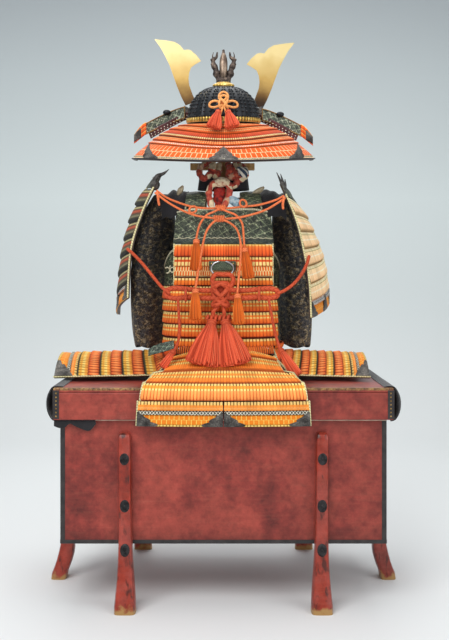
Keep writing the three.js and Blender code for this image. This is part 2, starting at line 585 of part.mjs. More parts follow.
add('cord_top_a', 'cord', bar(CORD_TOP_A, 3));
add('cord_top_b', 'cord', bar(CORD_TOP_B, 3));
const tailed = (points, thick) => joined(bar(points, thick), ...[points[0], points.at(-1)].map(([x, y, z]) =>
  tassel([x, y, z + 4], [12, 9], [20, 11], 84)));
add('cord_tail_a', 'tassel', tailed(TAIL_A, 3));
add('cord_tail_b', 'tassel', tailed(TAIL_B, 3));

// Cords from the middle of each shoulder guard to the wings of the big bow
const CORD_LOW_LEFT = [[-262, -155, 946], [-250, -156, 936], [-220, -156, 905], [-190, -156, 868], [-170,
  -157, 838],
  [-150, -158, 822]];
const CORD_LOW_RIGHT = [[234, -155, 926], [228, -156, 906], [212, -156, 876], [190, -156, 850], [168, -157,
  832],
  [150, -158, 824]];
add('cord_low_left', 'cord', bar(CORD_LOW_LEFT, 4.5));
add('cord_low_right', 'cord', bar(CORD_LOW_RIGHT, 4.5));

// The big bow: a loop through the ring, a crossed knot, two long wings and two tails
{
  const wing = (side, tip) => bar([[side * 12, -146, 838], [side * 60, -147, 840], [side * 110, -148, 842],
    [side * tip, -148, 838], [side * (tip + 10), -148, 824], [side * tip, -148, 810], [side * 110, -148, 812],
    [side * 60, -147, 814], [side * 12, -146, 812]], 6, { steps: 14 });
  const top = bar([[-10, -146, 832], [-26, -147, 852], [-26, -148, 868], [-2, -150, 875], [24, -148, 868],
    [24, -147, 852], [8, -146, 832]], 6);
  const knot = loft([oval(-6, -146, 790, 10, 6, 12), oval(-6, -147, 800, 24, 8, 12), oval(-6, -147, 840,
    24, 8, 12),
    oval(-6, -147, 850, 10, 6, 12)]);
  add('big_bow', 'cord', joined(knot, wing(-1, 134), wing(1, 138), top));
  const fall = (x) => bar([[x, -148, 787], [x, -150, 770], [x, -152, 752]], 6, { steps: 6 });
  const skirts = loft([[758, 14, 8, -152], [746, 30, 12, -153], [700, 58, 15, -160], [646, 88, 14, -187]]
    .map(([z, rx, ry, y]) => oval(-8, y, z, rx, ry, 20)));
  add('big_tassels', 'cord', joined(skirts, fall(-20), fall(6)));
  const tails = {
    left: [[-118, -158, 802], [-117, -152, 770], [-116, -148, 720], [-118, -150, 690], [-136, -160, 656],
      [-148, -168, 646]],
    right: [[112, -158, 802], [130, -152, 760], [140, -146, 720], [146, -146, 690], [160, -156, 650], [172,
      -166, 641]],
  };
  for (const [name, points] of Object.entries(tails)) {
    const side = name === 'left' ? -1 : 1;
    const [x, y, z] = points.at(-1);
    const brush = bar([[x, y, z], [x + side * 14, y - 14, z - 8], [x + side * 30, y - 30, z - 17]], 9,
      { steps: 6 });
    add(`bow_tail_${name}`, 'cord', joined(bar(points, 4), brush));
  }
}

export default armour;
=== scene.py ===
import bpy
import numpy as np
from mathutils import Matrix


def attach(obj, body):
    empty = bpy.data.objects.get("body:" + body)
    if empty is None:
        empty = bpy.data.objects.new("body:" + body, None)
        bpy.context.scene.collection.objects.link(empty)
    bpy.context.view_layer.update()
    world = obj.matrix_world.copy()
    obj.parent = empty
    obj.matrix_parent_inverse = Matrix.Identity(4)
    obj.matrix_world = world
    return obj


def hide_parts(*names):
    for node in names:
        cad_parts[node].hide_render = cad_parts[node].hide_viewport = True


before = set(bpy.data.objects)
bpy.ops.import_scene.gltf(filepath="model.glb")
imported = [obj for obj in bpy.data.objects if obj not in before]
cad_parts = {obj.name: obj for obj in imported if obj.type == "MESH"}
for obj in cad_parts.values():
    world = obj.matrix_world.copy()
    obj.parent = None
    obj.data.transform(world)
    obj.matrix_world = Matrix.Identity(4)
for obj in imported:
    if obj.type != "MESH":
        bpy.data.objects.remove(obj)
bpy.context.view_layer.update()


# Studio: a pale floor that curves up into the backdrop, lit by large soft lamps.
# The paper is nearly white in front of the chest and painted darker, grey-blue, higher up: painted shade
# for the light falling off with height.
def linear(shade):
    """An sRGB hex colour as linear RGBA: c/12.92 below 0.04045, ((c + 0.055)/1.055)^2.4 above it."""
    c = np.array([int(shade[i : i + 2], 16) for i in (1, 3, 5)]) / 255
    rgb = np.where(c <= 0.04045, c / 12.92, ((c + 0.055) / 1.055) ** 2.4)
    return (*rgb.tolist(), 1.0)


def add(tree, kind, inputs=None, stops=None, **settings):
    """Adds a node with its settings. An input is a value, a hex colour, a socket, or a node for its first
    live output."""
    node = tree.nodes.new("ShaderNode" + kind)
    for key, value in settings.items():
        setattr(node, key, value)
    for key, value in (inputs or {}).items():
        if isinstance(value, bpy.types.Node):
            value = next(out for out in value.outputs if out.enabled)
        if isinstance(value, bpy.types.NodeSocket):
            tree.links.new(value, node.inputs[key])
        else:
            node.inputs[key].default_value = linear(value) if isinstance(value, str) else value
    if stops:
        ramp = node.color_ramp.elements
        while len(ramp) < len(stops):
            ramp.new(1.0)
        for element, (place, shade) in zip(ramp, stops):
            element.position = place
            element.color = linear(shade)
    return node


def finish(name, **sockets):
    """A material whose shader takes these constants on its own sockets, named with _ for a space."""
    material = bpy.data.materials.new(name)
    material.use_nodes = True
    shader = material.node_tree.nodes["Principled BSDF"]
    for key, value in sockets.items():
        value = linear(value) if isinstance(value, str) else value
        shader.inputs[key.replace("_", " ")].default_value = value
    return material, material.node_tree


def dress(tree, colour, height=None, strength=0.5, deep=1.0):
    """Links a colour to the tree's shader, and a bump, deep in mm, where a height is given."""
    fed = [("Base Color", colour)]
    if height is not None:
        fed.append(("Normal",
                    add(tree, "Bump", {"Height": height, "Strength": strength, "Distance": deep / 1000})))
    for socket, value in fed:
        if isinstance(value, bpy.types.Node):
            value = next(out for out in value.outputs if out.enabled)
        tree.links.new(value, tree.nodes["Principled BSDF"].inputs[socket])


def mottled(name, stops, scale, detail=2.0, grain=0.5, bump=None, **sockets):
    """A finish that clouds through the stops at one scale, with a bump (strength, mm) of the same clouds."""
    made, tree = finish(name, **sockets)
    cloud = add(tree, "TexNoise", {"Vector": add(tree, "TexCoord").outputs["Object"], "Scale": scale,
                                   "Detail": detail, "Roughness": grain})
    dress(tree, add(tree, "ValToRGB", {0: cloud}, stops), *((cloud, *bump) if bump else ()))
    return made


def stacked(*ways):
    """Arrays that broadcast together, stacked as points or as UV pairs."""
    return np.stack(np.broadcast_arrays(*ways), -1)


def piece(name, points, faces, finishes, slot=None, stands_for=(), uv=None, kinds=None, sharp=35):
    """A mesh from points in mm. Its faces are turned to face out if its signed volume is negative."""
    mesh = bpy.data.meshes.new(name)
    mesh.from_pydata(np.asarray(points, float).reshape(-1, 3) * 0.001, [], faces)
    for material in finishes:
        mesh.materials.append(material)
    if kinds is not None:
        mesh.polygons.foreach_set("material_index", np.asarray(kinds, np.int32))
    if uv is not None:
        mesh.uv_layers.new(name="UVMap").uv.foreach_set("vector", np.asarray(uv, np.float32).ravel())
    mesh.calc_loop_triangles()
    corners = np.empty(len(mesh.loop_triangles) * 3, np.int32)
    mesh.loop_triangles.foreach_get("vertices", corners)
    places = np.empty(len(mesh.vertices) * 3)
    mesh.vertices.foreach_get("co", places)
    a, b, c = places.reshape(-1, 3)[corners.reshape(-1, 3)].transpose(1, 0, 2)
    if np.einsum("ij,ij", a, np.cross(b, c)) < 0:
        mesh.flip_normals()
    mesh.polygons.foreach_set("use_smooth", np.ones(len(mesh.polygons), bool))
    mesh.set_sharp_from_angle(angle=np.radians(sharp))
    mesh.update()
    obj = bpy.data.objects.new(name, mesh)
    bpy.context.scene.collection.objects.link(obj)
    if slot:
        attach(obj, "root")
        if stands_for:
            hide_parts(*stands_for)
    return obj


def backdrop():
    """A sheet 10 m wide: flat from 4 m in front to 2.1 m behind, then a quarter circle of 1.2 m up to a
    wall."""
    turn = np.linspace(0, np.pi / 2, 16)
    y = np.concatenate([[-4000], 2100 + 1200 * np.sin(turn), [3300]])
    z = np.concatenate([[0], 1200 - 1200 * np.cos(turn), [5500]])
    x = np.array([-5000, 5000])[:, None] + 0 * y
    points = np.stack([x, y + 0 * x, z + 0 * x], -1)
    n = len(y)
    faces = [[i, i + n, i + n + 1, i + 1] for i in range(n - 1)]
    paper, tree = finish("backdrop_paper", Roughness=0.9, Specular_IOR_Level=0.1)
    height = add(tree, "SeparateXYZ", {0: add(tree, "TexCoord").outputs["Object"]})
    # Painted shade: the paper's colour darkens with height for the light falling off up the backdrop.
    rise = add(tree, "MapRange", {"Value": height.outputs["Z"], "From Min": -0.08, "From Max": 2.75})
    painted_falloff = add(tree, "ValToRGB", {0: rise}, [(0.028, "#e8eaea"), (0.25, "#dfe5e5"), (0.5, "#dfe7e7"),
                                             (0.78, "#c9d1d3"), (1.0, "#b0b7bb")])
    dress(tree, painted_falloff)
    obj = piece("backdrop", points, faces, [paper])


backdrop()

for label, place, turn, size, power in [
    ("key", (-1.3, -2.6, 3.0), (0.86, 0.0, -0.42), 2.2, 84),
    ("fill", (2.2, -2.4, 1.8), (1.2, 0.0, 0.72), 2.4, 36),
    ("top", (0.0, 0.5, 3.4), (0.0, 0.0, 0.0), 2.6, 40),
    ("rear", (0.0, 2.3, 2.6), (-1.1, 0.0, 0.0), 2.0, 22),
]:
    lamp = bpy.data.lights.new(label, "AREA")
    lamp.size, lamp.energy = size, power
    obj = bpy.data.objects.new(label, lamp)
    obj.location, obj.rotation_euler = place, turn
    bpy.context.scene.collection.objects.link(obj)

world = bpy.data.worlds.new("studio_air")
bpy.context.scene.world = world
world.use_nodes = True
world.node_tree.nodes["Background"].inputs["Color"].default_value = linear("#e6ebee")
world.node_tree.nodes["Background"].inputs["Strength"].default_value = 0.46
bpy.context.scene.view_settings.view_transform = "Standard"

lens = bpy.data.cameras.new("camera")
lens.lens, lens.sensor_width = 54.0, 36.0
lens.shift_x, lens.shift_y = 0.0016, -0.081
camera = bpy.data.objects.new("camera", lens)
camera.location, camera.rotation_euler = (0.0, -2.782, 0.8944), (np.pi / 2, 0.0, 0.0)
bpy.context.scene.collection.objects.link(camera)
bpy.context.scene.camera = camera


# The chest: a board box under a cap lid, both in dull red lacquer worn brown on the edges.
# Black-lacquered strips cover the box's corners and foot, and a pale lining edge shows under the lid.
BOX_X, BOX_Y, BOX_FOOT, BOX_TOP = 430.5, 244.5, 167.5, 566
LID_X, LID_Y, LID_FOOT, LID_TOP = 447, 265, 496, 580
BOARD = 12


def boards(name, blocks, rounding, material, slot, stands_for=()):
    """Boards as boxes from their low and high corners in mm, with every edge rounded by a bevel."""
    lo, hi = np.array(blocks, float).transpose(1, 0, 2)
    pick = np.array([[i & 1, i >> 1 & 1, i >> 2 & 1] for i in range(8)])
    points = np.where(pick, hi[:, None], lo[:, None])
    sides = np.array([[0, 2, 3, 1], [4, 5, 7, 6], [0, 1, 5, 4], [2, 6, 7, 3], [0, 4, 6, 2], [1, 3, 7, 5]])
    faces = (sides + 8 * np.arange(len(lo))[:, None, None]).reshape(-1, 4).tolist()
    obj = piece(name, points, faces, [material], slot, stands_for)
    bevel = obj.modifiers.new("rounded edges", "BEVEL")
    bevel.width, bevel.segments, bevel.limit_method = rounding * 0.001, 3, "ANGLE"
    return obj


def red_lacquer(name, worn_from, worn_to, base, dark, gloss, painted_shade_at_foot=1.0):
    """Lacquer brushed on boards: cloudy red, rubbed to gold-brown above one height, dusty scratches, with
    painted shade darkening it towards the foot and towards the right-hand side.
    """
    made, tree = finish(name, Roughness=gloss, IOR=1.5, Specular_IOR_Level=0.36, Coat_Weight=0.1,
                        Coat_Roughness=0.3)
    place = add(tree, "TexCoord").outputs["Object"]
    cloud = add(tree, "TexNoise", {"Vector": place, "Scale": 7.0, "Detail": 9.0, "Roughness": 0.72})
    tone = add(tree, "ValToRGB", {0: cloud},
               [(0.32, dark), (0.46, base), (0.56, "#9a4034"), (0.64, "#8c382e"), (0.78, "#ac5c4e")])
    streak_place = add(tree, "Mapping", {"Vector": place, "Scale": (12.0, 12.0, 160.0)})
    streak = add(tree, "TexNoise", {"Vector": streak_place, "Scale": 1.0, "Detail": 4.0})
    scuffed = add(tree, "ValToRGB", {0: streak}, [(0.52, "#000000"), (0.8, "#585858")])
    dusty = add(tree, "Mix", {0: scuffed, 6: tone, 7: "#b47c62"}, data_type="RGBA")
    height = add(tree, "SeparateXYZ", {0: place}).outputs["Z"]
    ragged = add(tree, "Math", {0: add(tree, "TexNoise", {"Vector": place, "Scale": 60.0}), 1: 0.006},
                 operation="MULTIPLY")
    level = add(tree, "Math", {0: height, 1: ragged}, operation="ADD")
    worn = add(tree, "MapRange", {"Value": level, "From Min": worn_from / 1000, "From Max": worn_to / 1000})
    ways = add(tree, "SeparateXYZ", {0: place})
    past = [add(tree, "Math", {0: add(tree, "Math", {0: ways.outputs[axis]}, operation="ABSOLUTE"),
                               1: rim / 1000},
                operation="SUBTRACT") for axis, rim in (("X", 440), ("Y", 255))]
    outward = add(tree, "Math", {0: add(tree, "Math", {0: past[0], 1: past[1]}, operation="MAXIMUM"),
                                 1: ragged}, operation="ADD")
    near = add(tree, "MapRange", {"Value": outward, "From Min": 0.0, "From Max": 0.004})
    worn = add(tree, "Math", {0: worn, 1: near}, operation="MULTIPLY")
    rubbed = add(tree, "TexNoise", {"Vector": place, "Scale": 110.0, "Detail": 5.0, "Roughness": 0.7})
    bare = add(tree, "ValToRGB", {0: rubbed}, [(0.36, "#2c1c14"), (0.47, "#7a5430"), (0.58, "#a07c48"),
                                               (0.7, "#c09a5c")])
    edge = add(tree, "Mix", {0: worn, 6: dusty, 7: bare}, data_type="RGBA")
    mottle = add(tree, "TexNoise", {"Vector": place, "Scale": 30.0, "Detail": 6.0, "Roughness": 0.7})
    grime = add(tree, "MapRange", {"Value": mottle, "From Min": 0.34, "From Max": 0.66, "To Min": 0.72,
                                   "To Max": 1.26})
    # Painted shade: below 215 mm the colour darkens towards the floor, to the last argument's share at 165
    # mm.
    foot = add(tree, "MapRange", {"Value": height, "From Min": 0.165, "From Max": 0.215,
                                  "To Min": painted_shade_at_foot})
    # Painted shade across the boards: 1.04 times the colour on the left half, falling to 0.86 times at the
    # right-hand end.
    painted_side_shade = add(tree, "MapRange", {"Value": ways.outputs["X"], "From Min": 0.0, "From Max": 0.44,
                                   "To Min": 1.04, "To Max": 0.86})
    toned = add(tree, "Math", {0: add(tree, "Math", {0: grime, 1: foot}, operation="MULTIPLY"), 1: painted_side_shade},
                operation="MULTIPLY")
    aged = add(tree, "HueSaturation", {"Value": toned, "Color": edge.outputs[2]})
    dress(tree, aged, cloud, 0.12, 2)
    return made


# The chest's lacquer takes 0.62 as its painted shade at the foot.
chest_red = red_lacquer("worn_red_lacquer_boards", 575, 579, "#86322a", "#5e201c", 0.5, 0.62)
inner_x, inner_y = BOX_X - BOARD, BOX_Y - BOARD
boards("chest_box_boards", [
    [[-BOX_X, -BOX_Y, BOX_FOOT], [BOX_X, -inner_y, BOX_TOP]],
    [[-BOX_X, inner_y, BOX_FOOT], [BOX_X, BOX_Y, BOX_TOP]],
    [[-BOX_X, -inner_y, BOX_FOOT], [-inner_x, inner_y, BOX_TOP]],
    [[inner_x, -inner_y, BOX_FOOT], [BOX_X, inner_y, BOX_TOP]],
    [[-inner_x, -inner_y, BOX_FOOT], [inner_x, inner_y, BOX_FOOT + BOARD]],
], 1.5, chest_red, "red_lacquer", ["chest_box"])
rim_x, rim_y = LID_X - BOARD, LID_Y - BOARD
boards("chest_lid_boards", [
    [[-LID_X, -LID_Y, LID_TOP - BOARD], [LID_X, LID_Y, LID_TOP]],
    [[-LID_X, -LID_Y, LID_FOOT], [LID_X, -rim_y, LID_TOP - BOARD]],
    [[-LID_X, rim_y, LID_FOOT], [LID_X, LID_Y, LID_TOP - BOARD]],
    [[-LID_X, -rim_y, LID_FOOT], [-rim_x, rim_y, LID_TOP - BOARD]],
    [[rim_x, -rim_y, LID_FOOT], [LID_X, rim_y, LID_TOP - BOARD]],
], 3.0, chest_red, "red_lacquer", ["chest_lid"])

# Black lacquer reads as a soft near-black line along the corners, with the red of the board between.
black_lacquer = mottled("black_lacquer_strip", [(0.35, "#1b1819"), (0.7, "#37302f")], 45.0, 4.0,
                        Roughness=0.42, IOR=1.5)
STRIP, PROUD, NAIL_X = 11, 1.6, LID_X - 8


def band_round(proud, low, high):
    """Four flat strips round the box, each standing out by proud mm."""
    long_sides = [[[-BOX_X, s * BOX_Y - proud, low], [BOX_X, s * BOX_Y + proud, high]] for s in (-1, 1)]
    return long_sides + [[[s * BOX_X - proud, -BOX_Y, low], [s * BOX_X + proud, BOX_Y, high]]
                         for s in (-1, 1)]


half = STRIP / 2
corner_strips = [
    [[sx * (BOX_X - half) - half - 0.8, sy * (BOX_Y - half) - half - 0.8, BOX_FOOT - 1],
     [sx * (BOX_X - half) + half + 0.8, sy * (BOX_Y - half) + half + 0.8, LID_FOOT - 2]]
    for sx in (-1, 1) for sy in (-1, 1)
]
end_strips = [[[x - wide, -LID_Y - deep, LID_FOOT + 3], [x + wide, -LID_Y + back, LID_TOP - 6]]
              for out, wide, deep, back in ((LID_X, 1.2, 1.0, 16), (NAIL_X, 8, 1.2, 1)) for x in (-out, out)]
boards("chest_edge_strips", corner_strips + band_round(PROUD, BOX_FOOT - 1, BOX_FOOT + 9) + end_strips,
       0.7, black_lacquer, "red_lacquer")

pale_edge = mottled("pale_lining_edge", [(0.3, "#b9a591"), (0.7, "#dccdb8")], 30.0, Roughness=0.8)
boards("chest_lining_edge", band_round(1.2, LID_FOOT - 4.5, LID_FOOT - 1.5), 0.5, pale_edge, "red_lacquer")


# The six legs: shaped from one piece of wood each, round-shouldered at the top, flaring to a broad foot.
# They carry a glossier red lacquer, rubbed to bare wood at the floor, and three black oval nail covers.
LEG_TOP, LEG_WIDTH, LEG_OUT = 463, 34, 27
LEG_RINGS = [  # height share, width share, how far the face stands out
    (0.0, 1.72, 2.44), (0.03, 1.70, 2.38), (0.08, 1.60, 2.05), (0.2, 1.32, 1.5), (0.36, 1.12, 1.15),
    (0.55, 1.04, 1.06), (0.8, 1.01, 1.02), (0.94, 1.0, 1.0), (0.975, 0.94, 0.93), (0.993, 0.78, 0.74),
    (1.0, 0.55, 0.5),
]


def through(places, values, at):
    """A smooth line through values: cubic between neighbours, with the slope at each from both its
    chords."""
    places, values, at = (np.asarray(a, float) for a in (places, values, at))
    slopes = np.gradient(values, places, axis=0)
    i = np.clip(np.searchsorted(places, at, "right") - 1, 0, len(places) - 2)
    gap, t = places[i + 1] - places[i], (at - places[i]) / (places[i + 1] - places[i])
    if values.ndim > 1:
        gap, t = gap[..., None], t[..., None]
    start, end, rise, fall = values[i], values[i + 1], slopes[i] * gap, slopes[i + 1] * gap
    return start + t * (rise
                        + t * (3 * (end - start) - 2 * rise - fall + t * (2 * (start - end) + rise + fall)))


def swept(name, grid, finishes, slot, stands_for=(), loop=False, uv=None, kinds=None, sharp=35,
          ladder=False):
    """A closed profile (first axis) carried along stations (second axis), capped at both ends unless it
    loops. A ladder cap joins the profile's first half to its second, rung by rung, for a long thin
    wall."""
    n, m = grid.shape[:2]
    i, j = np.meshgrid(np.arange(n), np.arange(m if loop else m - 1), indexing="ij")
    steps = [(0, 0), (0, 1), (1, 1), (1, 0)]
    quads = np.stack([(i + a) % n * m + (j + b) % m for a, b in steps], -1).reshape(-1, 4)
    rung = np.arange(n // 2 - 1)
    ends = [np.stack([rung, rung + 1, n - 2 - rung, n - 1 - rung], -1)] if ladder else [np.arange(n)[None]]
    caps = [] if loop else [(ends[0] * m).tolist(), (ends[0][:, ::-1] * m + m - 1).tolist()]
    capped = sum(len(cap) for cap in caps)
    if kinds is not None:
        kinds = np.concatenate([np.repeat(kinds, i.shape[1]), [kinds[-1]] * capped])
    if uv is not None:
        rows, cols = uv.shape[:2]
        laid = np.stack([uv[(i + a) % rows, (j + b) % cols] for a, b in steps], 2).reshape(-1, 2)
        tail = [] if loop else [uv[ends[0].ravel() % rows, 0], uv[ends[0][:, ::-1].ravel() % rows, cols - 1]]
        uv = np.concatenate([laid] + tail)
    caps = sum(caps, [])
    return piece(name, grid, quads.tolist() + caps, finishes, slot, stands_for, uv, kinds, sharp)


leg_red = red_lacquer("glossy_red_lacquer_leg", 900, 901, "#93301f", "#6c1f16", 0.34)
tree = leg_red.node_tree
painted = tree.nodes["Principled BSDF"].inputs["Base Color"].links[0].from_socket
height = add(tree, "SeparateXYZ", {0: add(tree, "TexCoord").outputs["Object"]}).outputs["Z"]
chips = add(tree, "TexNoise", {"Vector": add(tree, "TexCoord").outputs["Object"], "Scale": 55.0,
                               "Detail": 5.0})
reach = add(tree, "Math", {0: chips, 1: 0.05}, operation="MULTIPLY")
bare = add(tree, "MapRange", {"Value": add(tree, "Math", {0: height, 1: reach}, operation="SUBTRACT"),
                              "From Min": -0.006, "From Max": -0.018})
grimed = add(tree, "TexNoise",
             {"Vector": add(tree, "Mapping", {"Vector": add(tree, "TexCoord").outputs["Object"],
                                             "Scale": (70.0, 70.0, 22.0)}), "Scale": 1.0, "Detail": 6.0})
scuffs = add(tree, "MapRange", {"Value": grimed, "From Min": 0.56, "From Max": 0.66, "To Max": 0.75})
painted = add(tree, "Mix", {0: scuffs, 6: painted, 7: "#2a1a16"}, data_type="RGBA").outputs[2]
wood = add(tree, "Mix", {0: bare, 6: painted, 7: "#a8824e"}, data_type="RGBA")
dress(tree, wood)

stud_black = mottled("black_iron_nail_cover", [(0.3, "#19181a"), (0.7, "#3c3a3b")], 90.0, Metallic=0.7,
                     Roughness=0.45)


def leg(name, place):
    """Rings from foot to top; each ring is a superellipse |a|^p + |b|^p = 1 between the box and the leg's
    face."""
    high = np.concatenate([np.linspace(0, 0.9, 26), np.linspace(0.92, 1, 8)])
    rings = np.array(LEG_RINGS)
    wide, out = (through(rings[:, 0], rings[:, k], high) for k in (1, 2))
    face = LEG_OUT * out
    back = np.maximum(0, face - np.where(high < 0.4, 44, 100))
    turn = np.linspace(0, 2 * np.pi, 24, endpoint=False)[:, None]
    squared = (np.abs(np.cos(turn)) ** 5 + np.abs(np.sin(turn)) ** 5) ** (-1 / 5)
    across = squared * np.cos(turn) * LEG_WIDTH / 2 * wide * (1 - 0.04 * (1 + np.sin(turn)))
    depth = 0.4 + (face + back) / 2 + squared * np.sin(turn) * (face - back) / 2
    points = place(across, depth, LEG_TOP * high + 0 * turn)
    swept(name, points, [leg_red], "leg_lacquer", [name.replace("carved_", "")])


def studs(name, centres, out, size, material, slot, sides=10, rings=3):
    """Domed covers: each an oval of half-sizes size = (across, up, proud), raised along its own outward
    axis."""
    centres, out = np.array(centres, float), np.array(out, float)
    out = out / np.linalg.norm(out, axis=-1, keepdims=True)
    up = np.array([0.0, 0.0, 1.0]) - out * out[:, 2:]
    up /= np.linalg.norm(up, axis=-1, keepdims=True)
    side = np.cross(up, out)
    turn = np.linspace(0, 2 * np.pi, sides, endpoint=False)
    lift = np.concatenate([[-0.4], np.sin(np.linspace(0, np.pi / 2, rings + 1)[:-1])])
    wide = np.concatenate([[1], np.cos(np.linspace(0, np.pi / 2, rings + 1)[:-1])])
    ring = (side[:, None, None] * (np.cos(turn) * wide[:, None] * size[0])[..., None]
            + up[:, None, None] * (np.sin(turn) * wide[:, None] * size[1])[..., None]
            + out[:, None, None] * (lift[:, None] * size[2] + 0 * turn)[..., None])
    count = sides * (rings + 1)
    tip = out[:, None] * size[2]
    points = centres[:, None] + np.concatenate([ring.reshape(len(centres), -1, 3), tip], 1)
    i, j = np.meshgrid(np.arange(rings), np.arange(sides), indexing="ij")
    quads = np.stack([i * sides + j, i * sides + (j + 1) % sides, (i + 1) * sides + (j + 1) % sides,
                      (i + 1) * sides + j], -1).reshape(-1, 4)
    j = np.arange(sides)
    tips = np.stack([rings * sides + j, rings * sides + (j + 1) % sides, 0 * j + count], -1)
    shift = (count + 1) * np.arange(len(centres))
    faces = sum(((f + shift[:, None, None]).reshape(-1, f.shape[1]).tolist() for f in (quads, tips)), [])
    base = (np.arange(sides)[::-1] + shift[:, None]).tolist()
    return piece(name, points, faces + base, [material], slot, sharp=50)


SIDES = ((-1, "left"), (1, "right"))
LEG_X = 260
NAIL_SPOTS = ((395, 1.0), (272, 1.04), (158, 1.2))  # height and how far the leg's face stands out there
stud_at, stud_out = [], []
for side, label in SIDES:
    for way, face in ((-1, "front"), (1, "rear")):
        leg(f"carved_chest_leg_{face}_{label}", lambda across, depth, z: np.stack(
            [side * (LEG_X - 4 * (1 - z / LEG_TOP)) + across, way * (BOX_Y + depth), z], -1))
        stud_at += [(side * (LEG_X - 4 * (1 - z / LEG_TOP)), way * (BOX_Y + 0.4 + LEG_OUT * out), z)
                    for z, out in NAIL_SPOTS]
        stud_out += [(0, way, 0)] * 2 + [(0, way, 0.1)]
    leg(f"carved_chest_leg_side_{label}", lambda across, depth, z: np.stack(
        [side * (BOX_X + depth), across, z], -1))
    stud_at += [(side * (BOX_X + 0.4 + LEG_OUT * out), 0, z) for z, out in NAIL_SPOTS]
    stud_out += [(side, 0, 0)] * 2 + [(side, 0, 0.1)]
studs("chest_nail_covers", stud_at, stud_out, (12.5, 17.0, 2.6), stud_black, "leg_lacquer", 20, 4)
studs("chest_nail_heads", np.array(stud_at) + 2.2 * np.array(stud_out), stud_out, (4.5, 5.5, 3.0),
      stud_black, "leg_lacquer", 14, 4)
brass = mottled("brass_nail_head", [(0.3, "#7a5c30"), (0.7, "#b8965c")], 90.0, Metallic=0.8, Roughness=0.4)
end_nails = [(s * NAIL_X, -LID_Y - 1.2, z) for s in (-1, 1) for z in np.linspace(506, 566, 7)]
studs("chest_end_nails", end_nails, [(0, -1, 0)] * 14, (2.4, 2.4, 1.6), brass, "red_lacquer")


# Black cotton cloth, folded double and laid over each end of the lid to keep the skirts off the lacquer.
# It rolls softly over the edge and hangs a hand's width down the end boards, creased by its own weight.
CLOTH_RUN = [(424, 582.6), (446, 583.4), (457, 576), (467, 551), (466, 520), (455, 497), (442, 490)]

# Dull and nearly black, with a faint diagonal weave.
cotton, tree = finish("black_cotton_cloth", Roughness=0.92, Sheen_Weight=0.3, Sheen_Roughness=0.5)
place = add(tree, "TexCoord").outputs["Object"]
mottle = add(tree, "TexNoise", {"Vector": place, "Scale": 22.0, "Detail": 5.0})
tone = add(tree, "ValToRGB", {0: mottle}, [(0.3, "#0f0e11"), (0.75, "#232126")])
threads = add(tree, "TexWave", {"Vector": place, "Scale": 260.0, "Distortion": 1.5},
              bands_direction="DIAGONAL")
dress(tree, tone, threads, 0.35, 0.5)


def raised(face, u, v, height, out=1):
    """Points of face(u, v) moved by height along its normal, the cross product of its two slopes."""
    step = 1e-3
    down = face(u, v + step) - face(u, v - step)
    normal = np.cross(down, face(u + step, v) - face(u - step, v))
    normal = out * normal / np.linalg.norm(normal, axis=-1, keepdims=True)
    return face(u, v) + normal * np.broadcast_to(height, normal.shape[:-1])[..., None]


def wrapped(name, face, u, v, thick, finishes, slot, stands_for=(), out=1, loop=False, relief=None, edge=1.2,
            sharp=50):
    """A wall of the given thickness behind face(u, v), its upper and lower edges rounded by two stations
    each. relief(u, v) raises the outer face; UV is (u, v); the inner face takes the last finish."""
    u, v = np.asarray(u)[None, :], np.asarray(v)[:, None]
    lift = 0 * u * v if relief is None else relief(u, v)
    outer = raised(face, u, v, lift, out)
    outer[[0, -1]] = raised(face, u, v[[0, -1]], lift[[0, -1]] - edge, out)
    inner = raised(face, u, v[::-1], lift[::-1] * 0 - thick, out)
    grid = np.concatenate([outer, inner])
    uv = stacked(u, np.concatenate([v, v[::-1]]))
    kinds = [0] * (len(v) - 1) + [len(finishes) - 1] * (len(v) + 1)
    if loop:
        grid = grid[:, :-1]
    return swept(name, grid, finishes, slot, stands_for, loop, uv, kinds, sharp, True)


for side, label in SIDES:
    def hang(u, v):
        run = through(np.linspace(0, 1, 7), CLOTH_RUN, v + 0 * u)
        y = -252 + 504 * u + 0 * v
        low = np.clip(v, 0, 1) ** 2
        pleats = low * (2.2 * np.sin(u * 23 + 1.3)
                        + 1.4 * np.sin(u * 47 + side)) * np.sin(np.pi * np.clip(v, 0, 1)) ** 0.3
        return np.stack([side * (run[..., 0] + pleats * 0.9 - 1), y, run[..., 1] + low * 4 * np.sin(u * 11)],
                        -1)
    obj = wrapped(f"lid_cloth_{label}", hang, np.linspace(0, 1, 91), np.linspace(0, 1, 25), 2, [cotton],
                  "black_cotton", [f"chest_cloth_{label}"], side, edge=0.6)


def tucked(u, v):
    x = -446 + 108 * u + 6 * v * np.sin(9 * u)
    low = 479 - 6 * np.sin(11 * u) - 10 * np.exp(-((u - 0.82) / 0.12) ** 2)
    return stacked(x, -256 - 2.5 * v * np.sin(13 * u + 1), 501 + (low - 501) * v)


# A corner of the left cloth is tucked under the lid and shows below its near edge.
obj = wrapped("lid_cloth_tucked_corner", tucked, np.linspace(0, 1, 60), np.linspace(0, 1, 12), 2, [cotton],
              "black_cotton", edge=0.6)


# The stand: a planed softwood post on a foot board, with a bar for the shoulder straps and one for the
# neck, and a rounded crown under the helmet. The pieces are tenoned together and left unpainted.
STAND_FOOT, STAND_CROWN, SHOULDER_BAR, HEAD_BAR = 580.4, 1414, 1098, 1198

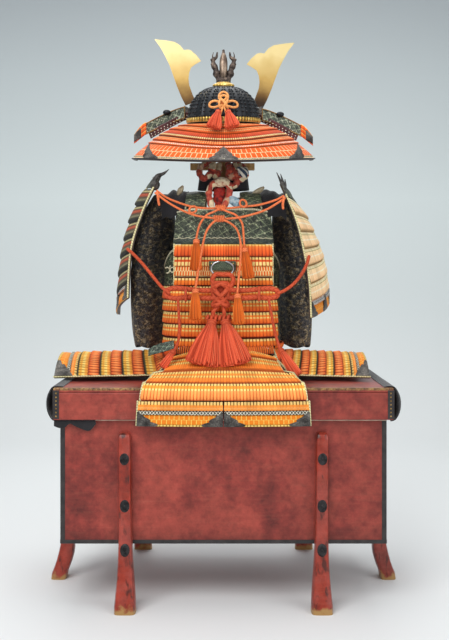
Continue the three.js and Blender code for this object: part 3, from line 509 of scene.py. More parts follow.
softwood, tree = finish("planed_softwood", Roughness=0.55, IOR=1.5)
place = add(tree, "TexCoord").outputs["Object"]
grain_place = add(tree, "Mapping", {"Vector": place, "Scale": (90.0, 90.0, 6.0)})
grain = add(tree, "TexNoise", {"Vector": grain_place, "Scale": 1.0, "Detail": 5.0, "Distortion": 0.6})
tone = add(tree, "ValToRGB", {0: grain}, [(0.3, "#b98648"), (0.5, "#d0a468"), (0.7, "#e0bd86")])
dress(tree, tone, grain, 0.15, 0.6)
boards("stand_frame", [
    [[-110, -80, STAND_FOOT], [110, 80, STAND_FOOT + 21]],
    [[-10, -10, STAND_FOOT + 20], [10, 10, STAND_CROWN - 30]],
    [[-136, -15, SHOULDER_BAR - 12], [136, 15, SHOULDER_BAR]],
    [[-96, -9, HEAD_BAR - 20], [90, 9, HEAD_BAR]],
], 1.6, softwood, "stand_wood", ["stand"])
turn = np.linspace(0, 2 * np.pi, 28, endpoint=False)
knob = through([0, 0.15, 0.35, 0.7, 1], [(6, -40), (24, -39), (34, -22), (27, -8), (5, 0)],
               np.linspace(0, 1, 14))
swept("stand_crown", np.stack([knob[:, 0] * np.cos(turn)[:, None], 10 + knob[:, 0] * np.sin(turn)[:, None],
                               STAND_CROWN + knob[:, 1] + 0 * turn[:, None]], -1), [softwood], "stand_wood")


# The laced rows that every armour panel is built from: lacquered scales held edge to edge by silk braids.
# One braid is 5 to 7 mm wide; each row overlaps the next and stands out at its lower edge.
def laced_silk(name, chart, between, lines=None, line_shade="#f4e3b0", gap=0.22):
    """Silk braids side by side. UV counts braids across and rows down; chart gives the colour down the
    middle of a braid through one row, and between the colour in the grooves. lines adds crosses or a
    zigzag. Dark colours at a row's head and foot are painted shadow where it tucks under the row above
    and turns under at its foot; the groove colours are darkened as painted shade between the braids,
    besides the pattern they carry."""
    made, tree = finish(name, Specular_IOR_Level=0.2, Roughness=0.72, Sheen_Weight=0.06)
    source = add(tree, "TexCoord")
    split = add(tree, "SeparateXYZ", {0: source.outputs["UV"]})
    place = add(tree, "Math", {0: split.outputs["Y"]}, operation="FRACT")
    middle = add(tree, "Math", {0: split.outputs["X"], 1: 0.5}, operation="PINGPONG")
    inside = add(tree, "MapRange", {"Value": middle, "From Min": 0.05, "From Max": gap},
                 interpolation_type="SMOOTHSTEP")
    braid = add(tree, "ValToRGB", {0: place}, chart)
    # Painted shade: the groove colours are mostly the braid's colours darkened for the shade between braids.
    groove = add(tree, "ValToRGB", {0: place}, between)
    laid = add(tree, "Mix", {0: inside, 6: groove, 7: braid}, data_type="RGBA")
    if lines:
        centred = add(tree, "Math", {0: add(tree, "Math", {0: place, 1: 0.5}, operation="SUBTRACT")},
                      operation="ABSOLUTE")
        if lines == "zigzag":
            centred = add(tree, "Math", {0: place, 1: 0.25}, operation="SUBTRACT")
        miss = add(tree, "Math", {0: add(tree, "Math", {0: centred, 1: middle}, operation="SUBTRACT")},
                   operation="ABSOLUTE")
        drawn = add(tree, "MapRange", {"Value": miss, "From Min": 0.12, "From Max": 0.06})
        laid = add(tree, "Mix", {0: drawn, 6: laid, 7: line_shade}, data_type="RGBA")
    one = add(tree, "VectorMath", {0: source.outputs["UV"]}, operation="FLOOR")
    luck = add(tree, "TexWhiteNoise", {"Vector": one}, noise_dimensions="2D")
    even = add(tree, "MapRange", {"Value": luck.outputs["Value"], "To Min": 0.84, "To Max": 1.08})
    fade = add(tree, "TexNoise", {"Vector": source.outputs["Object"], "Scale": 16.0, "Detail": 3.0})
    worn = add(tree, "MapRange", {"Value": fade, "From Min": 0.3, "From Max": 0.7, "To Min": 0.88,
                                  "To Max": 1.08})
    toned = add(tree, "HueSaturation", {"Value": add(tree, "Math", {0: even, 1: worn}, operation="MULTIPLY"),
                                        "Color": laid})
    steps = add(tree, "Math", {0: split.outputs["Y"], 1: 6.0, 2: middle}, operation="MULTIPLY_ADD")
    plait = add(tree, "Math", {0: steps, 1: 0.5}, operation="PINGPONG")
    dress(tree, toned, plait, 0.5, 0.8)
    return made


def woven_cells(name, ground, other, line, wide, high):
    """A flat woven band of small cells outlined in pale cord, each row of cells set half a cell along."""
    made, tree = finish(name, Specular_IOR_Level=0.2, Roughness=0.72, Sheen_Weight=0.06)
    source = add(tree, "TexCoord")
    split = add(tree, "SeparateXYZ", {0: source.outputs["UV"]})
    place = add(tree, "Math", {0: split.outputs["Y"]}, operation="FRACT")
    flat = add(tree, "CombineXYZ",
               {0: split.outputs["X"], 1: add(tree, "Math", {0: place, 1: 6.0}, operation="MULTIPLY")})
    cells = add(tree, "TexBrick", {"Vector": flat, "Color1": ground, "Color2": other, "Mortar": line,
                                   "Scale": 1.0, "Mortar Size": 0.13, "Mortar Smooth": 0.3,
                                   "Brick Width": wide, "Row Height": high})
    threads = add(tree, "TexWave", {"Vector": source.outputs["UV"], "Scale": 6.0}, bands_direction="X")
    shade = add(tree, "MapRange", {"Value": threads.outputs["Fac"], "To Min": 0.85, "To Max": 1.05})
    toned = add(tree, "HueSaturation", {"Value": shade, "Color": cells.outputs["Color"]})
    dress(tree, toned, cells.outputs["Fac"], 0.6, 1)
    return made


backing = mottled("lacquered_leather_backing", [(0.35, "#1f1512"), (0.7, "#3d2a20")], 35.0, 4.0,
                  Roughness=0.5)

# Painted shadow: this dark colour at the head of a row stands for the shade the row above casts on it.
PAINTED_ROW_SHADOW = "#3a160c"
dashed_row = laced_silk(
    "orange_braid_dashed_row",
    [(0.0, PAINTED_ROW_SHADOW), (0.04, "#6b2a14"), (0.08, "#ffe192"), (0.26, "#fbd67a"), (0.30, "#fb8e35"),
     (0.42, "#f7882e"), (0.46, "#f8d67a"), (0.54, "#f8d67a"), (0.58, "#fb8431"), (0.92, "#f16b27"),
     (1.0, "#be4216")],
    [(0.0, PAINTED_ROW_SHADOW), (0.07, "#5a2212"), (0.26, "#7a3016"), (0.32, "#e06320"), (0.6, "#e46123"),
     (1.0, "#a53814")])
plain_row = laced_silk(
    "red_orange_braid_plain_row",
    [(0.0, "#f6cd77"), (0.1, "#f4c169"), (0.18, "#f7863a"), (0.5, "#f5692b"), (0.8, "#ed5d25"),
     (1.0, "#a73814")],
    [(0.0, "#e0a345"), (0.12, "#de652a"), (0.5, "#ce481b"), (1.0, "#7a2814")])
stroke_row = laced_silk(
    "orange_braid_cream_strokes",
    [(0.0, PAINTED_ROW_SHADOW), (0.06, "#f8d883"), (0.28, "#f8d883"), (0.34, "#e4571e"), (0.52, "#e4571e"),
     (0.58, "#fbdd8c"), (0.9, "#fbdd8c"), (1.0, "#efab42")],
    [(0.0, PAINTED_ROW_SHADOW), (0.3, "#a53a14"), (0.55, "#c84716"), (1.0, "#be4817")])
dotted_row = laced_silk(
    "orange_braid_dotted_row",
    [(0.0, PAINTED_ROW_SHADOW), (0.14, "#5a2212"), (0.2, "#fbdd8c"), (0.38, "#f8d883"), (0.44, "#f7862b"),
     (0.9, "#f17225"), (1.0, "#b54817")],
    [(0.0, PAINTED_ROW_SHADOW), (0.4, "#9f3a14"), (0.6, "#d65d1e"), (1.0, "#8a2f18")])
back_cells = woven_cells("red_band_cream_cells", "#e46826", "#ee7c34", "#fce8a4", 0.75, 3)


def laced(name, face, rows, braids, finishes, slot, stands_for, out=1, thick=4, proud=5, ridge=1.3):
    """Rows laced over face(u, v): each row is (top v, foot v, finish, relief). Its face swells to proud mm
    at the foot, then steps back, and each braid is a rounded ridge |sin(pi u braids)|^0.6 high. The back
    is plain."""
    place = np.array([0, 0.05, 0.2, 0.42, 0.68, 0.88, 0.97, 1.0])
    swell = np.array([-0.2, 0.1, 0.34, 0.58, 0.82, 1.0, 0.94, 0.5]) * proud
    crest = np.array([0, 0.8, 1, 1, 1, 1, 0.8, 0.1])
    u = np.linspace(0, 1, braids * 6 + 1)
    hump = ridge * np.abs(np.sin(np.pi * u * braids)) ** 0.6
    stations, heights, downs, kinds = [], [], [], []
    for number, (top, foot, kind, relief) in enumerate(rows):
        stations.append(top + (foot - top) * place)
        heights.append(swell[:, None] + relief * crest[:, None] * hump)
        downs.append(number + 0.999 * place)
        kinds += [kind] * len(place)
    v = np.concatenate(stations)[:, None]
    outer = raised(face, u[None, :], v, np.concatenate(heights), out)
    v_in = np.linspace(v.max(), v.min(), 9)[:, None]
    inner = raised(face, u[None, :], v_in, -thick, out)
    down = np.concatenate(downs + [np.full(9, 0.5)])[:, None]
    uv = stacked(u[None, :] * braids, down)
    kinds[-1] = len(finishes) - 1
    kinds += [len(finishes) - 1] * 9
    return swept(name, np.concatenate([outer, inner]), finishes, slot, stands_for, False, uv, kinds, 60)


# The body: a laced wrap that runs round the back, the left side and the front in one piece.
# Its silk is orange with cream stitches along the head of every row.
BODY_X, BODY_Y, BODY_FLAT, BODY_POWER = 171, 119, 190, 2.6
BODY_HEM, BODY_WAIST, BODY_CHEST, BODY_TOP = 676, 846, 961, 1059


def outline(turn, x, y, z):
    """The body's plan: a superellipse |sin/x|^p + |cos/y|^p = 1, from the middle of the back towards +X."""
    reach = (np.abs(np.sin(turn) / x) ** BODY_POWER
             + np.abs(np.cos(turn) / y) ** BODY_POWER) ** (-1 / BODY_POWER)
    return stacked(reach * np.sin(turn), -reach * np.cos(turn), z)


def wrap(u, v):
    start, end = 1.12, -1.12 - 0.63 * np.pi - 0.86
    return outline(start + (end - start) * u, BODY_X, BODY_Y + 3 * v,
                   BODY_WAIST + (BODY_HEM - BODY_WAIST) * v)


def back_face(u, v):
    return outline(0.96 * (2 * u - 1), BODY_FLAT, BODY_Y + 0 * v,
                   BODY_CHEST + (BODY_WAIST + 0.4 - BODY_CHEST) * v)


laced("body_wrap_rows", wrap,
      [(0.002, 0.225, 0, 1), (0.235, 0.42, 0, 1), (0.43, 0.625, 0, 1), (0.635, 0.84, 0, 1),
       (0.85, 0.998, 1, 1)],
      80, [dashed_row, dotted_row, backing], "laced_rows", ["body_wrap"], -1)
laced("back_panel_rows", back_face,
      [(0.002, 0.3, 0, 1), (0.305, 0.53, 1, 0.8), (0.532, 0.77, 2, 0.3), (0.79, 0.998, 3, 1)],
      32, [plain_row, stroke_row, back_cells, dotted_row, backing], "laced_rows", ["back_rows"])


# Silk braids hang free between the body's hem and the skirts, so the skirts can swing.
pendant_silk = laced_silk(
    "orange_pendant_braids",
    [(0.0, "#d9481f"), (0.35, "#f07c36"), (0.8, "#ee7430"), (1.0, "#c44e22")],
    [(0.0, "#6b2210"), (1.0, "#5a1d0e")])


def strips(name, top, foot, wide, thick, material, slot, sag, out, steps=7):
    """Flat braids, each from a top point to a foot point, w mm wide: a rounded four-sided section swept
    down. Each braid bows out by sag along out, the sine of its way down; UV is (braid number, way
    down)."""
    top, foot = np.asarray(top, float), np.asarray(foot, float)
    out = np.asarray(out, float) / np.linalg.norm(out, axis=-1, keepdims=True)
    run = foot - top
    side = np.cross(run, out)
    side /= np.linalg.norm(side, axis=-1, keepdims=True)
    t = np.linspace(0, 1, steps)
    centre = top[:, None] + run[:, None] * t[:, None] + out[:, None] * (sag * np.sin(np.pi * t))[:, None]
    section = np.array([(-0.5, 0), (-0.25, 0.5), (0.25, 0.5), (0.5, 0), (0.25, -0.5), (-0.25, -0.5)])
    grid = (centre[:, None] + side[:, None, None] * (wide * section[:, :1])[None, :, None]
            + out[:, None, None] * (thick * section[:, 1:])[None, :, None])
    count, n, m = len(top), 6, steps
    i, j = np.meshgrid(np.arange(n), np.arange(m - 1), indexing="ij")
    around = [(0, 0), (0, 1), (1, 1), (1, 0)]
    quads = np.stack([(i + a) % n * m + j + b for a, b in around], -1).reshape(-1, 4)
    ends = np.stack([np.arange(n) * m, np.arange(n)[::-1] * m + m - 1])
    shift = n * m * np.arange(count)[:, None, None]
    faces = (quads + shift).reshape(-1, 4).tolist() + (ends + shift).reshape(-1, n).tolist()
    across = np.linspace(0, 1, n + 1)
    uv = np.stack([np.stack([across[(i + a)], t[j + b]], -1) for a, b in around], 2).reshape(-1, 2)
    uv = uv[None] + np.stack([np.arange(count), 0 * np.arange(count)], -1)[:, None]
    flat = np.zeros((count * 2 * n, 2)) + 0.5
    return piece(name, grid, faces, [material], slot, uv=np.concatenate([uv.reshape(-1, 2), flat]))


def pendants(name, start, end, reach, foot_x, foot_y, foot_z, count):
    """Braids from the body's hem, between two turns, down to the skirt's head."""
    turn = np.linspace(start, end, count)
    top = outline(turn, BODY_X + 1, BODY_Y + 4, 682)
    foot = outline(turn, foot_x, foot_y, foot_z)
    away = outline(turn, 1, 1, 0)
    strips(name, top, foot, reach, 2.4, pendant_silk, "laced_rows", 2.0, away)


pendants("pendant_braids_rear", -0.98, 0.98, 7.2, BODY_X - 2, BODY_Y + 13, 655, 50)
pendants("pendant_braids_front", np.pi - 0.98, np.pi + 0.98, 7.2, BODY_X - 2, BODY_Y + 13, 655, 50)
pendants("pendant_braids_left", -np.pi / 2 - 0.5, -np.pi / 2 + 0.5, 7.0, BODY_X - 1, BODY_Y, 668, 26)
pendants("pendant_braids_right", np.pi / 2 - 0.5, np.pi / 2 + 0.5, 7.0, BODY_X - 1, BODY_Y, 668, 26)


# The skirt: four laced panels. Front and rear slope out to the lid's edge and hang over it, and their last
# row is split in two; the side ones lie along the lid as long arches.
SLOPE = [(-122, 673), (-134, 656), (-176, 632), (-222, 610), (-262, 595), (-280, 585), (-287, 562),
         (-289, 520), (-289, 482)]
SKIRT_SIDES = [(0, 140), (0.13, 149), (0.3, 160), (0.315, 188), (0.53, 203), (0.545, 209), (0.79, 217),
               (0.8, 223), (1, 226)]

fine_row = laced_silk(
    "orange_braid_fine_stitches",
    [(0.0, "#7a3416"), (0.06, "#f18a2b"), (0.1, "#ffe38e"), (0.22, "#fbd876"), (0.27, "#ff9e3a"),
     (0.38, "#ff9e3a"), (0.43, "#fde082"), (0.54, "#f8d372"), (0.59, "#ff9a38"), (0.92, "#ff8c32"),
     (1.0, "#af5017")],
    [(0.0, "#6a2c14"), (0.1, "#af5417"), (0.24, "#b75c1a"), (0.3, "#fa8c30"), (0.42, "#bf621e"),
     (0.56, "#bf621e"), (0.62, "#fa8a31"), (0.9, "#e9762a"), (1.0, "#8a3a1a")])
bold_row = laced_silk(
    "orange_braid_bold_stitches",
    [(0.0, PAINTED_ROW_SHADOW), (0.03, "#f18a2b"), (0.06, "#ffe794"), (0.27, "#fde082"), (0.31, "#ffa43a"),
     (0.48, "#ffa43a"), (0.51, "#fde285"), (0.58, "#fde285"), (0.62, "#ffb05f"), (0.8, "#ffa656"),
     (0.94, "#ff9a4e"), (1.0, "#ca5a25")],
    [(0.0, PAINTED_ROW_SHADOW), (0.06, "#5c2410"), (0.27, "#7a3014"), (0.31, "#fa8c2e"), (0.48, "#fa8c2e"),
     (0.51, "#bf621e"), (0.58, "#bf621e"), (0.62, "#f8843f"), (0.8, "#e9642a"), (1.0, "#af3c16")])
pale_row = laced_silk(
    "peach_braid_row",
    [(0.0, "#ed8748"), (0.3, "#fba565"), (0.8, "#f79d5f"), (1.0, "#bc552d")],
    [(0.0, "#cc4721"), (0.6, "#b43917"), (1.0, "#7a2814")])
foot_row = laced_silk(
    "peach_braid_foot_row",
    [(0.0, "#4a2412"), (0.06, "#f2cb7f"), (0.34, "#f0c56f"), (0.40, "#f19035"), (0.62, "#f19035"),
     (0.68, "#f2a85f"), (0.8, "#f19035"), (0.95, "#e78835"), (1.0, "#8a5a3c")],
    [(0.0, "#3a2010"), (0.34, "#5a3014"), (0.40, "#e17b2a"), (0.8, "#f2a85f"), (1.0, "#8a4a2c")])
cross_knots = laced_silk(
    "grey_white_cross_knots",
    [(0.0, "#4c4a40"), (0.5, "#54554c"), (1.0, "#4c4a40")], [(0.0, "#3e3c34"), (1.0, "#3e3c34")], "crosses",
    "#f4efdc")
amber_cells = woven_cells("amber_band_yellow_cells", "#e87c18", "#ee8c26", "#f6cc60", 1.5, 3)
yellow_cord = laced_silk(
    "yellow_twisted_edge", [(0.0, "#e8c45c"), (0.5, "#f6e088"), (1.0, "#c89a3c")],
    [(0.0, "#a87a2c"), (1.0, "#8a6224")])
skirt_silks = [fine_row, bold_row, pale_row, foot_row, cross_knots, amber_cells, yellow_cord, backing]


def hanging(way, start, end):
    """A skirt panel: the slope curve swept across, its half-width read off a table, with a low head at the
    sides."""
    def face(u, v):
        spot = np.clip(v, 0, 1) + 0 * u
        at = through(np.linspace(0, 1, 9), SLOPE, spot)
        side = start + (end - start) * u + 0 * v
        drop = 26 * side**2 * np.maximum(0, 1 - v / 0.5) - 2 * side**2
        return np.stack([side * np.interp(spot, *np.transpose(SKIRT_SIDES)), way * at[..., 0],
                         at[..., 1] - drop], -1)
    return face


SKIRT_ROWS = [(0.002, 0.13, 0, 1), (0.134, 0.306, 0, 1), (0.314, 0.536, 0, 1), (0.544, 0.79, 1, 1)]
FOOT_ROWS = [(0.797, 0.865, 3, 1), (0.866, 0.898, 4, 0.6), (0.899, 0.982, 5, 0.15), (0.983, 0.998, 6, 1)]
laced("rear_skirt_rows", hanging(1, -1, 1), SKIRT_ROWS, 50, skirt_silks, "laced_rows", ["skirt_rear"], 1, 7,
      4)
laced("rear_skirt_foot_rows_left", hanging(1, -1, -0.006), FOOT_ROWS, 26, skirt_silks, "laced_rows",
      ["skirt_rear_foot_left"], 1, 7, 4)
laced("rear_skirt_foot_rows_right", hanging(1, 0.006, 1), FOOT_ROWS, 26, skirt_silks, "laced_rows",
      ["skirt_rear_foot_right"], 1, 7, 4)
laced("front_skirt_rows", hanging(-1, -1, 1), SKIRT_ROWS + FOOT_ROWS, 50, skirt_silks, "laced_rows",
      ["skirt_front"], -1, 7, 4)


def arched(side, reach):
    """A side skirt: an arch across y, its middle line, half-width, crown and fall read off tables along
    x."""
    middle = [(0, 160), (0.08, 171), (0.22, 205), (1, reach)]
    half = [(0, 78), (0.08, 88), (0.22, 106), (1, 132)]
    crown = [(0, 672), (0.08, 657), (0.22, 654), (1, 646)]
    fall = [(0, 2), (0.08, 20), (0.22, 58), (1, 52)]
    def face(u, v):
        spot, s = np.clip(v, 0, 1) + 0 * u, 2 * u - 1 + 0 * v
        x, y, top, low = (np.interp(spot, *np.transpose(table)) for table in (middle, half, crown, fall))
        return np.stack([side * (x - 22 * s**2 * (1 - spot)), s * y, top - low * np.abs(s) ** 2.2], -1)
    return face


side_strands = laced_silk(
    "red_orange_loose_strands",
    [(0.0, "#8a3216"), (0.2, "#eb773a"), (0.5, "#f59652"), (0.8, "#ed7738"), (1.0, "#a53815")],
    [(0.0, "#5a1c0e"), (0.5, "#b44118"), (1.0, "#6a2010")])
side_band = laced_silk(
    "cream_peach_band",
    [(0.0, "#f19d46"), (0.25, "#eda540"), (0.38, "#f6d676"), (0.55, "#f3cd6b"), (0.64, "#e39d37"),
     (0.82, "#e3ad43"), (0.9, "#5a5434"), (1.0, "#3a3424")],
    [(0.0, "#d47f31"), (0.3, "#c4832e"), (0.5, "#8a5a28"), (0.65, "#c4832e"), (0.9, "#4a4428"),
     (1.0, "#2c2418")])
side_silks = [plain_row, side_strands, side_band, foot_row, cross_knots, amber_cells, yellow_cord, backing]
SIDE_ROWS = [(0.002, 0.1, 0, 1)]
SIDE_ROWS += [row for a, b in ((0.105, 0.3), (0.304, 0.475), (0.479, 0.65), (0.654, 0.825))
              for row in ((a, a + (b - a) * 0.52, 1, 1.6), (a + (b - a) * 0.525, b, 2, 1))]
SIDE_ROWS += [(0.829, 0.88, 3, 1), (0.882, 0.91, 4, 0.6), (0.912, 0.98, 5, 0.15), (0.982, 0.998, 6, 1)]
SIDE_SKIRTS = ((-1, "left", 468), (1, "right", 404))  # the last number is the skirt's reach in x
for side, label, reach in SIDE_SKIRTS:
    laced(f"side_skirt_rows_{label}", arched(side, reach), SIDE_ROWS, 30, side_silks, "laced_rows",
          [f"skirt_{label}"], side, 6, 4)


# Twisted cords bind the side edges of every laced panel, in cream, green and orange silk.
def tube(name, path, radius, finishes, slot, stands_for=(), toward=(0, 1, 0), sides=10, pitch=8.0):
    """A round section carried along a path of points in mm, with domed ends: three stations close each end
    as cos and sin of a quarter turn. The section's frame is the path's slope and one fixed direction. UV
    is (length along / pitch, way round)."""
    path = np.asarray(path, float)
    radius = np.broadcast_to(radius, path.shape[:1]).astype(float)
    slope = np.gradient(path, axis=0)
    slope /= np.linalg.norm(slope, axis=-1, keepdims=True)
    dome = np.radians([80, 55, 28])
    path = np.concatenate([path[:1] - slope[:1] * (radius[0] * np.sin(dome))[:, None], path,
                           path[-1:] + slope[-1:] * (radius[-1] * np.sin(dome[::-1]))[:, None]])
    radius = np.concatenate([radius[0] * np.cos(dome), radius, radius[-1] * np.cos(dome[::-1])])
    slope = np.concatenate([slope[:1].repeat(3, 0), slope, slope[-1:].repeat(3, 0)])
    side = np.cross(slope, np.asarray(toward, float))
    side /= np.linalg.norm(side, axis=-1, keepdims=True)
    up = np.cross(side, slope)
    turn = np.linspace(0, 2 * np.pi, sides, endpoint=False)[:, None, None]
    grid = path + radius[:, None] * (np.cos(turn) * side + np.sin(turn) * up)
    along = np.concatenate([[0], np.cumsum(np.linalg.norm(np.diff(path, axis=0), axis=-1))]) / pitch
    uv = stacked(along[None, :], np.linspace(0, 1, sides + 1)[:, None])
    return swept(name, grid, finishes, slot, stands_for, False, uv, sharp=70)


def smooth_path(points, step):
    """Points every few mm along a smooth line through the given ones."""
    points = np.asarray(points, float)
    chord = np.concatenate([[0], np.cumsum(np.linalg.norm(np.diff(points, axis=0), axis=-1))])
    return through(chord, points, np.linspace(0, chord[-1], max(8, int(chord[-1] / step))))


def braided_cord(name, shade, light, dark, strands=2.0):
    """Round braided silk: strands cross in chevrons, with a painted highlight in the light colour beside
    each crest and painted shade in the dark colour down the grooves between them.
    """
    made, tree = finish(name, Specular_IOR_Level=0.2, Roughness=0.6, Sheen_Weight=0.05)
    source = add(tree, "TexCoord")
    split = add(tree, "SeparateXYZ", {0: source.outputs["UV"]})
    turn = add(tree, "Math", {0: split.outputs["Y"], 1: 0.25}, operation="PINGPONG")
    lean = add(tree, "Math", {0: turn, 1: strands * 2, 2: split.outputs["X"]}, operation="MULTIPLY_ADD")
    strand = add(tree, "Math", {0: lean, 1: 0.5}, operation="PINGPONG")
    # Painted highlight and shade: the colour follows each strand's height, light near its crest and dark in
    # the grooves.
    tone = add(tree, "ValToRGB", {0: strand}, [(0.0, dark), (0.10, shade), (0.36, light), (0.5, shade)])
    fade = add(tree, "TexNoise", {"Vector": source.outputs["Object"], "Scale": 20.0, "Detail": 3.0})
    worn = add(tree, "MapRange", {"Value": fade, "From Min": 0.3, "From Max": 0.7, "To Min": 0.85,
                                  "To Max": 1.1})
    toned = add(tree, "HueSaturation", {"Value": worn, "Color": tone})
    dress(tree, toned, strand, 0.8, 1)
    return made


# The dark green here is both the cord's green silk and painted shade in its grooves.
edge_silk = braided_cord("cream_green_twisted_edge_cord", "#c9bd86", "#f0e6b6", "#4c5a3e", 1.0)


def edge_cord(name, face, lift, out, rows=40, v0=0.0, v1=1.0):
    """A cord down each upright edge of a face, lifted off it along its normal."""
    v = np.linspace(v0, v1, rows)
    for number in (0, 1):
        path = raised(face, np.full(rows, float(number)), v, lift, out)
        tube(f"{name}_{number}", path, 2.6, [edge_silk], "laced_rows", toward=(0.3, 1, 0.2), sides=8,
             pitch=7)


edge_cord("rear_skirt_edge_cord", hanging(1, -1, 1), 1.5, 1, rows=60, v1=0.79)
edge_cord("rear_skirt_foot_edge_cord", hanging(1, -1, 1), 2.5, 1, rows=16, v0=0.8, v1=0.99)
edge_cord("front_skirt_edge_cord", hanging(-1, -1, 1), 1.5, -1, rows=70)
edge_cord("back_edge_cord", back_face, 2.0, 1)
for side, label, reach in SIDE_SKIRTS:
    edge_cord(f"side_skirt_edge_cord_{label}", arched(side, reach), 1.0, side, rows=50)


# Metal mounts of dark, silvery bronze guard the panels' lower corners. Each is a thin plate cut in scallops,
# laid over the lacing and held by two small rivets.
dark_bronze, tree = finish("chased_dark_bronze", Metallic=0.6, Roughness=0.5)
place = add(tree, "TexCoord").outputs["Object"]
chased = add(tree, "TexVoronoi", {"Vector": place, "Scale": 260.0}, feature="SMOOTH_F1")
stain = add(tree, "TexNoise", {"Vector": place, "Scale": 40.0, "Detail": 5.0})
tone = add(tree, "ValToRGB", {0: stain}, [(0.3, "#34302e"), (0.5, "#605c58"), (0.72, "#8c867e")])
# Painted highlight: the colour is brightened to 1.35 times in the middle of each chased dimple and falls to
# 0.6 times on the ridges between.
painted_dimple_highlight = add(tree, "MapRange", {"Value": chased.outputs["Distance"], "From Max": 0.5, "To Min": 1.35,
                              "To Max": 0.6})
cast = add(tree, "HueSaturation", {"Value": painted_dimple_highlight, "Color": tone})
dress(tree, cast, chased.outputs["Distance"], 0.7, 1)


SCALLOPS = 3


def mount(name, face, corner, far, v_top, v_foot, out, lift=5.6, lean=0.0):
    """A corner plate on a face: it runs from u = corner to a scalloped edge that comes back from u = far
    at the foot to the corner at the top, as (1 - t)^0.8 with |sin| scallops."""
    def cut(s, t):
        edge = np.clip(1 - t, 0.02, 1) ** 0.8 * (0.86 + 0.3 * np.abs(np.sin(np.pi * SCALLOPS * t)) * (1 - t))
        u = corner + (far - corner) * s * np.clip(edge, 0.03, 1) + lean * t
        v = v_foot + (v_top - v_foot) * np.clip(t, 0, 1)
        return raised(face, u + 0 * v, v + 0 * u, lift, out)
    turned = 1 if (far > corner) == (v_top > v_foot) else -1
    return wrapped(name, cut, np.linspace(0, 1, 25), np.linspace(0, 1, 37), 1.6, [dark_bronze],
                   "dark_bronze", (), out * turned, edge=0.4, relief=lambda s, t: 0.5 * np.sin(np.pi * s)
                   + 0.45 * np.sin(19 * s + 4 * np.sin(9 * t)) * np.sin(23 * t) * (s < 0.9))


foot_left, foot_right, foot_whole = hanging(1, -1, -0.006), hanging(1, 0.006, 1), hanging(-1, -1, 1)
for label, face in (("left", foot_left), ("right", foot_right)):
    mount(f"rear_skirt_mount_{label}_a", face, 0.0, 0.25, 0.875, 0.998, 1)
    mount(f"rear_skirt_mount_{label}_b", face, 1.0, 0.75, 0.875, 0.998, 1)
for number, (corner, far) in enumerate(((0.0, 0.11), (0.5, 0.38), (0.5, 0.62), (1.0, 0.89))):
    mount(f"front_skirt_mount_{number}", foot_whole, corner, far, 0.875, 0.998, -1)
for side, label, reach in SIDE_SKIRTS:
    for end, (corner, far) in enumerate(((0.0, 0.22), (1.0, 0.78))):
        mount(f"side_skirt_mount_{label}_{end}", arched(side, reach), corner, far, 0.86, 0.998, side)


# Printed leather covers the boards: green-black deerskin stencilled with a lattice, lozenges and scrolls in
# olive and cream, rubbed by age. It is glued over the board and edged with a thin pale rim.
def printed_leather(name, ground, print_shade, lozenge_shade, cell, amount=1.0):
    """The UV is in cm. Lattice lines cross on the diagonal once a cell, with a lozenge in each and scrolls
    between."""
    made, tree = finish(name, Roughness=0.58, IOR=1.45)
    source = add(tree, "TexCoord")
    uv = source.outputs["UV"]
    turned = add(tree, "Mapping", {"Vector": uv, "Rotation": (0.0, 0.0, np.radians(33)),
                                   "Scale": (1 / cell, 1.4 / cell, 1.0)})
    wobble = add(tree, "TexNoise", {"Vector": uv, "Scale": 1.6, "Detail": 2.0})
    shifted = add(tree, "VectorMath",
                  {0: turned, 1: add(tree, "VectorMath", {0: wobble.outputs["Color"], 3: 0.10},
                                    operation="SCALE")}, operation="ADD")
    ways = add(tree, "SeparateXYZ", {0: shifted})
    nearest = add(tree, "Math", {0: add(tree, "Math", {0: ways.outputs["X"], 1: 0.5}, operation="PINGPONG"),
                                 1: add(tree, "Math", {0: ways.outputs["Y"], 1: 0.5}, operation="PINGPONG")},
                  operation="MINIMUM")
    lattice = add(tree, "MapRange", {"Value": nearest, "From Min": 0.075, "From Max": 0.045})
    flowers = add(tree, "TexVoronoi", {"Vector": uv, "Scale": 1.05, "Randomness": 0.55},
                  distance="MANHATTAN")
    ring = add(tree, "ValToRGB", {0: flowers.outputs["Distance"]},
               [(0.0, "#ffffff"), (0.1, "#ffffff"), (0.14, "#000000"), (0.2, "#000000"), (0.24, "#ffffff"),
                (0.3, "#ffffff"), (0.36, "#000000")])
    scroll = add(tree, "TexVoronoi", {"Vector": uv, "Scale": 3.2}, feature="DISTANCE_TO_EDGE")
    curls = add(tree, "MapRange", {"Value": scroll.outputs["Distance"], "From Min": 0.09, "From Max": 0.05,
                                   "To Max": 0.55})
    marks = add(tree, "Math", {0: lattice, 1: curls}, operation="MAXIMUM")
    rubbed = add(tree, "TexNoise", {"Vector": source.outputs["Object"], "Scale": 70.0, "Detail": 5.0,
                                    "Roughness": 0.7})
    left = add(tree, "MapRange", {"Value": rubbed, "From Min": 0.36, "From Max": 0.62, "To Max": amount})
    shown = add(tree, "Math", {0: marks, 1: left}, operation="MULTIPLY")
    tone = add(tree, "ValToRGB", {0: rubbed}, [(0.3, ground), (0.75, "#2a322d")])
    inked = add(tree, "Mix", {0: shown, 6: tone, 7: print_shade}, data_type="RGBA")
    dotted = add(tree, "Math", {0: ring, 1: left}, operation="MULTIPLY")
    dressed = add(tree, "Mix", {0: dotted, 6: inked.outputs[2], 7: lozenge_shade}, data_type="RGBA")
    dress(tree, dressed, rubbed, 0.25, 0.8)
    return made


